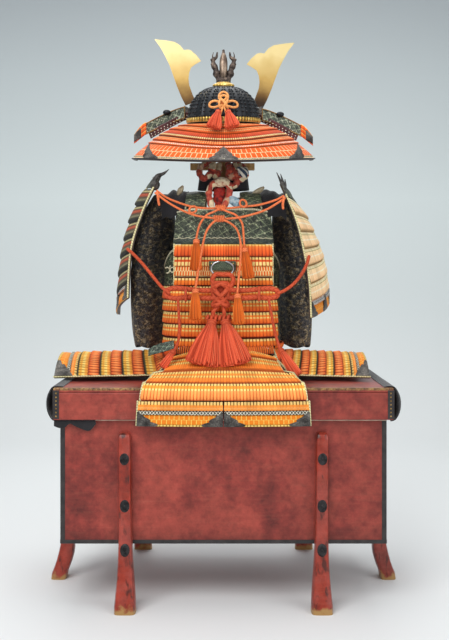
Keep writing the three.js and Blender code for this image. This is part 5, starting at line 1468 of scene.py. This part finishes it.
turn_leather = printed_leather("pale_green_stencilled_turn_back", "#2a3530", "#b4bfa0", "#e8e4cc", 1.9, 1.2)
copper_rim = mottled("gilt_copper_rim", [(0.35, "#6a4a2c"), (0.7, "#b08a52")], 60.0, Metallic=0.8,
                     Roughness=0.4)

for side, label in SIDES:
    low_by = 6 if side > 0 else 0

    def turned(u, v):
        x = side * (116 + 115 * u)
        y = 88 - 20 * u + 8 * np.sin(np.pi * u)
        top = 1376 - 53 * np.abs(u) ** 1.35 - low_by
        low = 1343 - 51 * u + 5 * np.sin(np.pi * u) - low_by
        return stacked(x, y + 0 * v, top + (low - top) * v)

    def scaled(u, v):
        x = side * (100 + 124 * u + 8 * v * (1 - 2 * u))
        top = 1366 - 66 * np.abs(u) ** 1.1 - low_by
        return stacked(x, 94 - 20 * u + 2 * v, top - (26 - 6 * u) * v)

    def tip(u, v):
        x = side * (229 + 36 * u)
        top, low = 1328 - 38 * np.abs(u) ** 1.5 - low_by, 1293 - 30 * u - low_by
        return stacked(x, 67 - 5 * u, top + (low - top) * v)

    leather_board(f"turn_back_leather_{label}", turned, (150, 30), 4, [f"turn_back_{label}"], side, 50, 20,
                  [turn_leather, backing])
    way = np.linspace(0, 1, 50)
    for number, (u, v) in enumerate(((way, 0 * way), (way, 0 * way + 1), (0 * way, way))):
        tube(f"turn_back_rim_{label}_{number}", raised(turned, u, v, 0.4, side), 1.7, [copper_rim],
             "gilt_metal", sides=8)
    knob_at = turned(np.array([0.46]), np.array([0.0]))
    studs(f"turn_back_knob_{label}", knob_at + (0, -4, 2), [(0, -1, 0.25)], (12, 8, 8), black_iron,
          "gilt_metal", 18, 5)
    dots = np.linspace(0.05, 0.95, 12)
    dot_at = raised(turned, dots, 0 * dots + 0.86, 0.4, side)
    studs(f"turn_back_stitches_{label}", dot_at, [(0, -1, 0.1)] * 12, (1.5, 1.5, 1.1), white_thread,
          "printed_leather", 8, 2)
    leather_board(f"turn_back_scales_{label}", scaled, (130, 26), 3, [], side, 61, 14, [dark_red, dark_red])
    dot_at = np.concatenate([raised(scaled, dots, 0 * dots + v, 0.4, side) for v in (0.45, 0.8)])
    studs(f"turn_back_scale_dots_{label}", dot_at, [(0, -1, 0.1)] * 24, (1.7, 1.7, 1.2), white_thread,
          "printed_leather", 8, 2)
    leather_board(f"turn_back_tip_{label}", tip, (36, 30), 3, [], side, 16, 14, [plain_row, backing])
    leather_board(f"turn_back_tip_plate_{label}",
                  lambda u, v: raised(tip, 0.42 + 0.58 * u + 0 * v, 0.18 + 0.82 * v - 0.16 * u, 1.4, side),
                  (20, 30), 1.4, [], side, 16, 14, [dark_bronze, dark_bronze], "dark_bronze")


# Gilt horns of thin sheet, flat-hammered, with a spur on the inner edge; their feet sit in a bronze socket.
# Between them stands a sword-hilt crest of dark bronze with three prongs and a pale leaf, on a gilt ring.
BROW = 133.24
HORN_INNER = [(84, 1400), (94, 1422), (104, 1450), (106, 1469), (104, 1488), (98, 1504), (84, 1514),
              (68, 1523), (82, 1541), (98, 1555), (109, 1558), (120, 1556), (132, 1571), (148, 1581),
              (178, 1586), (208, 1589)]
HORN_OUTER = [(115, 1388), (128, 1414), (141, 1446), (153, 1480), (164, 1511), (176, 1536), (190, 1562),
              (208.6, 1588)]

horn_gilt, tree = finish("gilt_horn_sheet", Metallic=0.7, Roughness=0.42)
place = add(tree, "TexCoord").outputs["Object"]
rise = add(tree, "MapRange", {"Value": add(tree, "SeparateXYZ", {0: place}).outputs["Z"], "From Min": 1.38,
                              "From Max": 1.58})
rub = add(tree, "TexNoise", {"Vector": place, "Scale": 24.0, "Detail": 6.0})
level = add(tree, "Math", {0: rub, 1: 0.35, 2: rise}, operation="MULTIPLY_ADD")
tone = add(tree, "ValToRGB", {0: level}, [(0.2, "#3c2a1c"), (0.38, "#7a5a32"), (0.62, "#c4a05c"),
                                          (0.85, "#d8bc7c"), (1.0, "#e6d094")])
dress(tree, tone, rub, 0.2, 1)
for side, label, wide, low in ((-1, "left", 1.0, 0), (1, "right", 1.03, 10)):
    def horn(u, v):
        inner_at = [0, 0.1, 0.24, 0.33, 0.42, 0.49, 0.53, 0.57, 0.64, 0.70, 0.74, 0.78, 0.83, 0.88, 0.94, 1]
        outer_at = [0, 0.14, 0.30, 0.45, 0.60, 0.74, 0.88, 1]
        (ix, iz), (ox, oz) = (
            [np.interp(v, at, side_line) for side_line in np.transpose(line)]
            for at, line in ((inner_at, HORN_INNER), (outer_at, HORN_OUTER)))
        x, z = ix + (ox - ix) * u, iz + (oz - iz) * u
        return stacked(side * wide * x, BROW + 0 * u, z - low)
    wrapped(f"gilt_horn_{label}", horn, np.linspace(0, 1, 15), np.linspace(0, 1, 160), 2, [horn_gilt],
            "gilt_metal", [f"horn_{label}"], side, edge=0.4,
            relief=lambda u, v: 0.9 * (1 - np.minimum(1, np.minimum(u, 1 - u) / 0.12))
            * np.minimum(1, 8 * v * (1 - v)) - 0.5, sharp=35)


def socket(u, v):
    s = 2 * u - 1
    high, low = 1384 - 26 * (1 - s**2), 1352 - 8 * (1 - s**2)
    return stacked(118 * s, BROW - 3 - 22 * s**2, high + (low - high) * v)


wrapped("bronze_horn_socket", socket, np.linspace(0, 1, 90), np.linspace(0, 1, 16), 4, [dark_bronze],
        "dark_bronze", ["horn_socket"], 1, relief=lambda u, v: 0.8 * np.sin(np.pi * v) + 0 * u)
crest_bronze = mottled("brown_cast_bronze", [(0.35, "#2c2421"), (0.55, "#5c4e46"), (0.7, "#8a7868")], 110.0,
                       5.0, bump=(0.6, 1.5), Metallic=0.45, Roughness=0.55)
hilt = smooth_path([(0, BROW - 3.5, 1364), (0, BROW - 3.5, 1400), (0, BROW - 3.5, 1436),
                    (0, BROW - 3.5, 1452), (0, BROW - 3.5, 1470), (0, BROW - 3.5, 1500),
                    (0, BROW - 3.5, 1554)], 2)
thick = np.interp(hilt[:, 2], [1364, 1384, 1388, 1400, 1404, 1424, 1428, 1440, 1444, 1462, 1476, 1500, 1530,
                               1550],
                  [6, 6.5, 9, 9, 7, 7, 14, 14, 10, 12, 13, 12, 11, 4])
tube("crest_hilt", hilt, thick, [crest_bronze], "dark_bronze", ["crest"], sides=18)
for side in (-1, 1):
    prong = smooth_path([(side * 6, BROW - 3, 1458), (side * 18, BROW - 3, 1478),
                         (side * 24, BROW - 3, 1498), (side * 30, BROW - 3, 1514),
                         (side * 31, BROW - 3, 1526), (side * 22, BROW - 3, 1534),
                         (side * 19, BROW - 3, 1548)], 1.5)
    along = np.linspace(0, 1, len(prong))
    knobs = 8.0 - 6.4 * along**1.8 + 1.9 * np.sin(along * 26) * (1 - along)
    tube(f"crest_prong_{side + 1}", prong, 1.45 * knobs, [crest_bronze], "dark_bronze", sides=12)
    studs(f"crest_dragon_brow_{side + 1}", [(side * 33, BROW - 4, 1512), (side * 26, BROW - 6, 1502),
                                            (side * 34, BROW - 4, 1526)],
          [(side, -0.6, 0.1)] * 3, (6, 5, 6), crest_bronze, "dark_bronze", 10, 4)
    horn_path = smooth_path([(side * 29, BROW - 4, 1524), (side * 33, BROW - 5, 1537),
                             (side * 30, BROW - 5, 1549)], 1.5)
    tube(f"crest_dragon_horn_{side + 1}", horn_path, 3.2 - 2.6 * np.linspace(0, 1, len(horn_path)),
         [crest_bronze], "dark_bronze", sides=8)
pale_bronze = mottled("pale_rubbed_bronze_leaf", [(0.35, "#6e5c50"), (0.65, "#a08c7a")], 60.0, 4.0,
                      Metallic=0.8, Roughness=0.42)
studs("crest_leaf", [(0, BROW - 11, 1508)], [(0, -1, 0.1)], (12.5, 40, 9.0), pale_bronze, "dark_bronze", 20,
      5)
studs("crest_gilt_rings", [(0, BROW - 9, 1408), (0, BROW - 9, 1384)], [(0, -1, 0.0)] * 2, (13, 6, 4.5), gilt,
      "dark_bronze", 20, 4)


# Tassels of twisted silk threads. The threads are tied round a small core under a plaited head.
def tassel(name, head, foot, head_size, spread, count, silk, slot, cap_silk, thick=1.7):
    """Threads from under the head to the foot, set on a sunflower spiral so that they fill the round: the
    angle is 2.4 rad times the number, the radius its square root. head_size is (radius, height), spread
    the foot's half sizes in x and y. A core cone closes the gaps. Returns the head and the threads."""
    head, foot, spread = (np.asarray(a, float) for a in (head, foot, spread))
    drop = foot - head
    down = drop / np.linalg.norm(drop)
    side = np.cross(down, [0.0, 1.0, 0.0])
    side /= np.linalg.norm(side)
    deep = np.cross(side, down)
    number = np.arange(count)
    share, turn = np.sqrt((number + 0.5) / count), number * 2.39996
    ring = np.stack([share * np.cos(turn), share * np.sin(turn)], -1)
    uneven = 1 + 0.05 * np.sin(number * 12.9898) - 0.05 * (share**4)
    stray = ring + 0.07 * np.stack([np.sin(number * 7.13), np.cos(number * 5.71)], -1)
    out = ring[:, :1] * side + ring[:, 1:] * deep
    start = head + down * head_size[1] * 0.8
    top = start + head_size[0] * 0.85 * out
    low = start + (foot - start) * uneven[:, None] + spread[0] * stray[:, :1] * side
    low += spread[1] * stray[:, 1:] * deep
    threads = strips(f"{name}_threads", top, low, thick, thick, silk, slot, 0.10 * spread.max(), out, 8)
    t = np.linspace(0, 1, 9)
    core = np.linspace(0, 2 * np.pi, 16, endpoint=False)[:, None, None]
    wide = 0.78 * (head_size[0] * 0.8 + (spread - head_size[0] * 0.8) * t[:, None])
    centre = start + (foot - start) * (0.96 * t)[:, None]
    swept(f"{name}_core", centre + wide[:, :1] * np.cos(core) * side + wide[:, 1:] * np.sin(core) * deep,
          [silk], slot)
    across = np.array([0.1, 0.55, 0.85, 1.0, 1.0, 0.93, 1.0, 0.95, 0.7, 0.2]) * head_size[0]
    along = np.linspace(-0.15, 1.05, 10) * head_size[1]
    core = core[:, 0]
    cap = (head + down * along[:, None])[None] + across[:, None] * (np.cos(core)[..., None] * side
                                                                    + np.sin(core)[..., None] * deep)
    uv = stacked(np.linspace(0, 3, 10)[None, :], np.linspace(0, 1, 17)[:, None])
    return swept(f"{name}_plaited_head", cap, [cap_silk], slot, uv=uv, sharp=70), threads


def thread_silk(name, shade, light, dark):
    """Loose silk threads: each a little lighter or darker than its neighbour, and darker towards the root as
    painted shade under the head.
    """
    made, tree = finish(name, Specular_IOR_Level=0.2, Roughness=0.6, Sheen_Weight=0.08)
    source = add(tree, "TexCoord")
    split = add(tree, "SeparateXYZ", {0: source.outputs["UV"]})
    thread = add(tree, "Math", {0: split.outputs["X"]}, operation="FLOOR")
    luck = add(tree, "TexWhiteNoise", {"W": thread}, noise_dimensions="1D")
    tone = add(tree, "ValToRGB", {0: luck.outputs["Value"]}, [(0.0, dark), (0.4, shade), (1.0, light)])
    # Painted shade: the threads darken over the top 30 percent of their length, under the head.
    down = add(tree, "MapRange", {"Value": split.outputs["Y"], "From Max": 0.3, "To Min": 0.7})
    toned = add(tree, "HueSaturation", {"Value": down, "Color": tone})
    twist = add(tree, "Math", {0: split.outputs["Y"], 1: 14.0, 2: split.outputs["X"]},
                operation="MULTIPLY_ADD")
    ply = add(tree, "Math", {0: twist, 1: 0.5}, operation="PINGPONG")
    dress(tree, toned, ply, 0.4, 0.6)
    return made


red_threads = thread_silk("red_silk_threads", "#dc5230", "#f47850", "#a4341a")
orange_threads = thread_silk("orange_silk_threads", "#d25a14", "#ea7826", "#98400a")
amber_threads = thread_silk("amber_silk_threads", "#de661a", "#f28430", "#a8480c")
light_cord = braided_cord("light_orange_braided_cord", "#ec9a52", "#f8bc78", "#a85a24")
suspension_cord = braided_cord("orange_red_braided_cord", "#e46c3c", "#f28c58", "#b44c26")
bow_cord = braided_cord("vermilion_braided_cord", "#b84324", "#cc5a38", "#9a3418")


def laid_cord(name, points, radius, silk, slot, stands_for):
    """A braided cord along a smooth line through the given points, which trace it hanging limp."""
    path = smooth_path(points, 3.0)
    obj = tube(name, path, radius, [silk], slot, stands_for, toward=(0.25, 1, 0.15), sides=12,
               pitch=radius * 3.2)


# A small bow ties the ring on the back of the bowl: four loops round a woven knot, with two red tassels.
bow_loops = [
    [(-2, -110, 1350), (-14, -110, 1358), (-28, -108, 1360), (-38, -107, 1354), (-39, -108, 1346),
     (-30, -110, 1342), (-14, -112, 1345), (-2, -112, 1349)],
    [(2, -110, 1350), (14, -110, 1358), (28, -108, 1360), (38, -107, 1354), (39, -108, 1346),
     (30, -110, 1342), (14, -112, 1345), (2, -112, 1349)],
    [(-3, -108, 1358), (-12, -103, 1369), (-10, -97, 1382), (0, -94, 1388), (10, -97, 1382),
     (12, -103, 1369), (3, -108, 1358)],
    [(-4, -108, 1364), (-9, -106, 1371), (0, -103, 1377), (9, -106, 1371), (4, -108, 1364), (0, -110, 1360)],
]
for number, loop in enumerate(bow_loops):
    tube(f"helmet_bow_loop_{number}", smooth_path(loop, 1.5), 3.2, [light_cord], "silk_cord",
         ["helmet_bow"] if number == 0 else (), toward=(0.3, 1, 0.2), sides=12, pitch=9)
weave = np.linspace(0, 2 * np.pi, 121)
knot = np.stack([12 * np.sin(2 * weave + 0.4), -114 - 2.6 * np.cos(6 * weave),
                 1351 + 12 * np.sin(3 * weave)], -1)
tube("helmet_bow_woven_knot", knot, 2.9, [light_cord], "silk_cord", sides=10, pitch=9)
for number, x in enumerate((-5, 5)):
    fall = smooth_path([(x * 0.6, -113, 1342), (x, -116, 1332), (x * 1.6, -118, 1322)], 2)
    tube(f"helmet_bow_fall_{number}", fall, 2.6, [light_cord], "silk_cord", sides=10, pitch=9)
blob("helmet_bow_knot_core", [(0, -109, 1338, 3, 2), (0, -110, 1344, 10, 4), (0, -110, 1351, 12, 5),
                              (0, -109, 1360, 10, 4), (0, -108, 1365, 3, 2)], [light_cord], "silk_cord")
for number, (x, low) in enumerate(((-13, 52), (12, 50))):
    tassel(f"helmet_tassel_{number}", (x, -119, 1332), (x * 2.1, -150 - number * 2, 1332 - low), (8.5, 11),
           (20, 9), 240, red_threads, "silk_tassel", red_threads)
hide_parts("helmet_tassels")


# Two cords tie the guards' spurs together across the shoulders. The upper one curls round a small ring at
# each strap, and both are knotted in the middle, where the tassel cords hang from them.
cord_a = [(-182, -153, 1106), (-160, -152, 1090), (-128, -148, 1076), (-100, -140, 1067), (-80, -140, 1062),
          (-60, -140, 1060), (-30, -138, 1059), (0, -138, 1059), (30, -138, 1061), (56, -140, 1064),
          (80, -140, 1066), (100, -140, 1069), (120, -144, 1074), (150, -152, 1084), (164, -153, 1092)]
cord_b = [(-186, -156, 1100), (-160, -160, 1080), (-120, -156, 1056), (-80, -150, 1040), (-40, -149, 1033),
          (0, -149, 1030), (40, -149, 1033), (80, -150, 1042), (120, -156, 1056), (150, -160, 1074),
          (168, -156, 1086)]
laid_cord("shoulder_cord_upper", cord_a, 3, suspension_cord, "silk_cord", ["cord_top_a"])
laid_cord("shoulder_cord_lower", cord_b, 3, suspension_cord, "silk_cord", ["cord_top_b"])
# At each strap the upper cord is hooked round itself in a small open curl.
for number, (x, z, wide, high, lean) in enumerate(((-84, 1055, 10, 9, 0.5), (54, 1072, 9, 10, -0.4))):
    curl = np.linspace(0.6, 2 * np.pi * 1.12, 50)
    ring_path = np.stack([x + wide * np.cos(curl) + lean * high * np.sin(curl) * 0.4, -146 - 1.2 * curl,
                          z + high * np.sin(curl)], -1)
    tube(f"shoulder_cord_curl_{number}", ring_path, 2.9, [suspension_cord], "silk_cord", sides=10, pitch=9)
for number, (x, y, z, wide, high) in enumerate(((-8, -141, 1060, 13, 6), (-12, -152, 1030, 14, 7))):
    turns = np.linspace(0, 2 * np.pi * 4.5, 150)
    wrap_path = np.stack([x - wide + 2 * wide * np.linspace(0, 1, 150), y - high * 0.8 * np.cos(turns),
                          z + high * np.sin(turns)], -1)
    tube(f"shoulder_cord_knot_{number}", wrap_path, 2.9, [suspension_cord], "silk_cord", toward=(1, 0.1, 0),
         sides=10, pitch=9)
for number, points in enumerate(([(-181, -156, 1102), (-179, -160, 1090), (-178, -160, 1080),
                                  (-176, -158, 1068)],
                                 [(165, -156, 1090), (164, -160, 1080), (162, -160, 1068),
                                  (163, -158, 1058)])):
    tube(f"shoulder_cord_stub_{number}", smooth_path(points, 2), 3.4, [suspension_cord], "silk_cord",
         sides=10, pitch=9)

tails = [
    ("upper_left", [(-10, -146, 1058), (-24, -148, 1050), (-46, -146, 1040), (-62, -145, 1020),
                    (-70, -146, 998), (-74, -147, 978)],
     (-74, -150, 974), (-76, -156, 890), "cord_tail_a", orange_threads),
    ("upper_right", [(-6, -146, 1058), (10, -148, 1050), (34, -146, 1040), (50, -145, 1020), (55, -146, 985),
                     (57, -148, 954)],
     (57, -151, 950), (69, -157, 868), "cord_tail_a", orange_threads),
    ("lower_left", [(-16, -154, 1029), (-30, -158, 1018), (-44, -158, 1000), (-54, -158, 970),
                    (-62, -160, 925), (-70, -164, 880), (-76, -168, 842)], (-76, -170, 838),
     (-76, -178, 756), "cord_tail_b", amber_threads),
    ("lower_right", [(-8, -154, 1029), (14, -158, 1020), (34, -158, 1004), (46, -158, 970), (47, -159, 925),
                     (42, -163, 872), (38, -168, 828)], (38, -170, 824), (42, -178, 744), "cord_tail_b",
     amber_threads),
]
for number, (label, points, head, foot, node, silk) in enumerate(tails):
    parts = tassel(f"shoulder_tassel_{label}", head, foot, (9.5, 14), (17, 12), 210, silk, "silk_tassel",
                   suspension_cord)
    laid_cord(f"tassel_cord_{label}", points, 3, suspension_cord, "silk_tassel",
              [node] if number % 2 == 0 else ())


# The big bow ties the guards back. Its plaited cord, 12 mm thick, goes through the silver ring, crosses in a
# basket knot and spreads in two wide wings; two heavy red tassels hang from it.
bow_wings = []
for side, tip in ((-1, 158), (1, 148)):
    bow_wings.append([(side * x, y, z) for x, y, z in (
        (14, -150, 835), (50, -153, 833), (92, -154, 836), (tip - 12, -154, 837), (tip, -154, 831),
        (tip, -154, 821), (tip - 12, -154, 814), (92, -154, 815), (50, -153, 812), (14, -150, 813))])
for number, wing in enumerate(bow_wings):
    tube(f"bow_wing_{number}", smooth_path(wing, 2.5), 7.2, [bow_cord], "silk_cord", ["big_bow"]
         if number == 0 else (), toward=(0.05, 1, 0.05), sides=14, pitch=13)
top_loop = [(-10, -150, 836), (-26, -151, 850), (-30, -151, 864), (-24, -152, 875), (0, -153, 877),
            (20, -152, 875), (27, -151, 864), (24, -151, 850), (8, -150, 836)]
tube("bow_top_loop", smooth_path(top_loop, 2.5), 6.4, [bow_cord], "silk_cord", toward=(0.05, 1, 0.05),
     sides=14, pitch=20)
basket = np.linspace(0, 2 * np.pi, 161)
weaves = np.stack([-8 + 21 * np.sin(3 * basket + 0.3), -158 - 6 * np.cos(6 * basket),
                   823 + 31 * np.sin(2 * basket)], -1)
tube("bow_basket_knot", weaves, 6.2, [bow_cord], "silk_cord", toward=(0.02, 1, 0.02), sides=12, pitch=20)
blob("bow_knot_core", [(-8, -148, 794, 6, 4), (-8, -149, 804, 18, 8), (-8, -149, 824, 22, 9),
                       (-8, -149, 844, 18, 8), (-8, -148, 854, 6, 4)],
     [bow_cord], "silk_cord")
for number, (x, y, z) in enumerate(((-103, -154, 824), (97, -154, 824))):
    tie = [(x, y - 9, z + 17), (x, y - 12, z), (x, y - 9, z - 17)]
    tube(f"bow_wing_tie_{number}", smooth_path(tie, 2), 4.2, [bow_cord], "silk_cord", toward=(1, 0, 0),
         pitch=14)
for number, (x0, x1) in enumerate(((-16, -28), (0, 2))):
    fall = [(x0, -152, 806), (x0, -155, 790), (x1, -157, 774), (x1, -158, 762)]
    tube(f"bow_fall_{number}", smooth_path(fall, 2), 5.6, [bow_cord], "silk_cord", toward=(0.1, 1, 0.1),
         sides=12, pitch=20)
for number, (x, low_x, wide) in enumerate(((-30, -56, 46), (4, 32, 44))):
    turns = np.linspace(0, 2 * np.pi * 2.6, 70)
    knot = np.stack([x - 15 + 30 * np.linspace(0, 1, 70), -160 - 6 * np.cos(turns), 757 + 7 * np.sin(turns)],
                    -1)
    tube(f"big_tassel_knot_{number}", knot, 4.4, [bow_cord], "silk_cord", toward=(1, 0.1, 0), sides=10,
         pitch=14)
    tassel(f"big_tassel_{number}", (x, -161, 754), (low_x, -192, 636), (14, 18), (wide, 18), 900,
           red_threads, "silk_tassel", bow_cord, 1.9)
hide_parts("big_tassels")

low_left = [(-262, -155, 946), (-250, -157, 936), (-220, -158, 905), (-190, -158, 868), (-166, -159, 840),
            (-148, -161, 826)]
low_right = [(234, -155, 926), (228, -157, 906), (212, -158, 876), (190, -158, 850), (168, -159, 834),
             (150, -161, 826)]
laid_cord("guard_cord_left", low_left, 4.5, bow_cord, "silk_cord", ["cord_low_left"])
laid_cord("guard_cord_right", low_right, 4.5, bow_cord, "silk_cord", ["cord_low_right"])
for side, label, line in (
    (-1, "left", [(-124, -162, 806), (-122, -160, 770), (-120, -158, 730), (-124, -160, 694),
                  (-134, -164, 670)]),
    (1, "right", [(124, -162, 806), (132, -160, 764), (140, -156, 722), (148, -156, 694), (154, -162, 674)]),
):
    end = np.array(line[-1], float)
    reach, wide = ((-32, -16, -44), 11) if side < 0 else ((44, -24, -70), 17)
    brush = tassel(f"bow_tail_brush_{label}", end, end + reach, (9, 15), (wide, wide * 0.7), 200,
                   red_threads, "silk_cord", bow_cord)
    laid_cord(f"bow_tail_cord_{label}", line, 4, bow_cord, "silk_cord", [f"bow_tail_{label}"])


# The ring plate: a dark green bronze plate nailed on the back's middle, chased in fine scrolls, with a
# silver ring through its eye that carries the big bow.
green_bronze, tree = finish("green_patinated_bronze", Metallic=0.5, Roughness=0.5)
place = add(tree, "TexCoord").outputs["Object"]
scroll = add(tree, "TexVoronoi", {"Vector": place, "Scale": 330.0}, feature="DISTANCE_TO_EDGE")
tone = add(tree, "ValToRGB", {0: scroll.outputs["Distance"]},
           [(0.04, "#6f7a5e"), (0.12, "#39423a"), (0.4, "#262e2b")])
dress(tree, tone, scroll.outputs["Distance"], 0.5, 0.6)
boards("chased_ring_plate", [[[-40, -131, 888], [34, -126.4, 914]], [[-36, -132.4, 892], [30, -131, 910]]],
       1.2, green_bronze, "dark_bronze", ["ring_plate"])
studs("ring_plate_nails", [(x, -132.2, z) for x in (-33, 27) for z in (895, 907)], [(0, -1, 0)] * 4,
      (2.4, 2.4, 1.6), gilt, "dark_bronze", 10, 2)
silver = mottled("tarnished_silver_ring", [(0.3, "#8f9298"), (0.7, "#d4d6da")], 90.0, Metallic=1.0,
                 Roughness=0.3)
spin = np.linspace(0.35, 2 * np.pi - 0.35, 90)
tube("silver_body_ring", np.stack([-3 + 31 * np.sin(spin), -136 + 0 * spin, 893 + 21 * np.cos(spin)], -1),
     2.3, [silver], "silver_ring", ["body_ring"], toward=(0, 1, 0), sides=14)
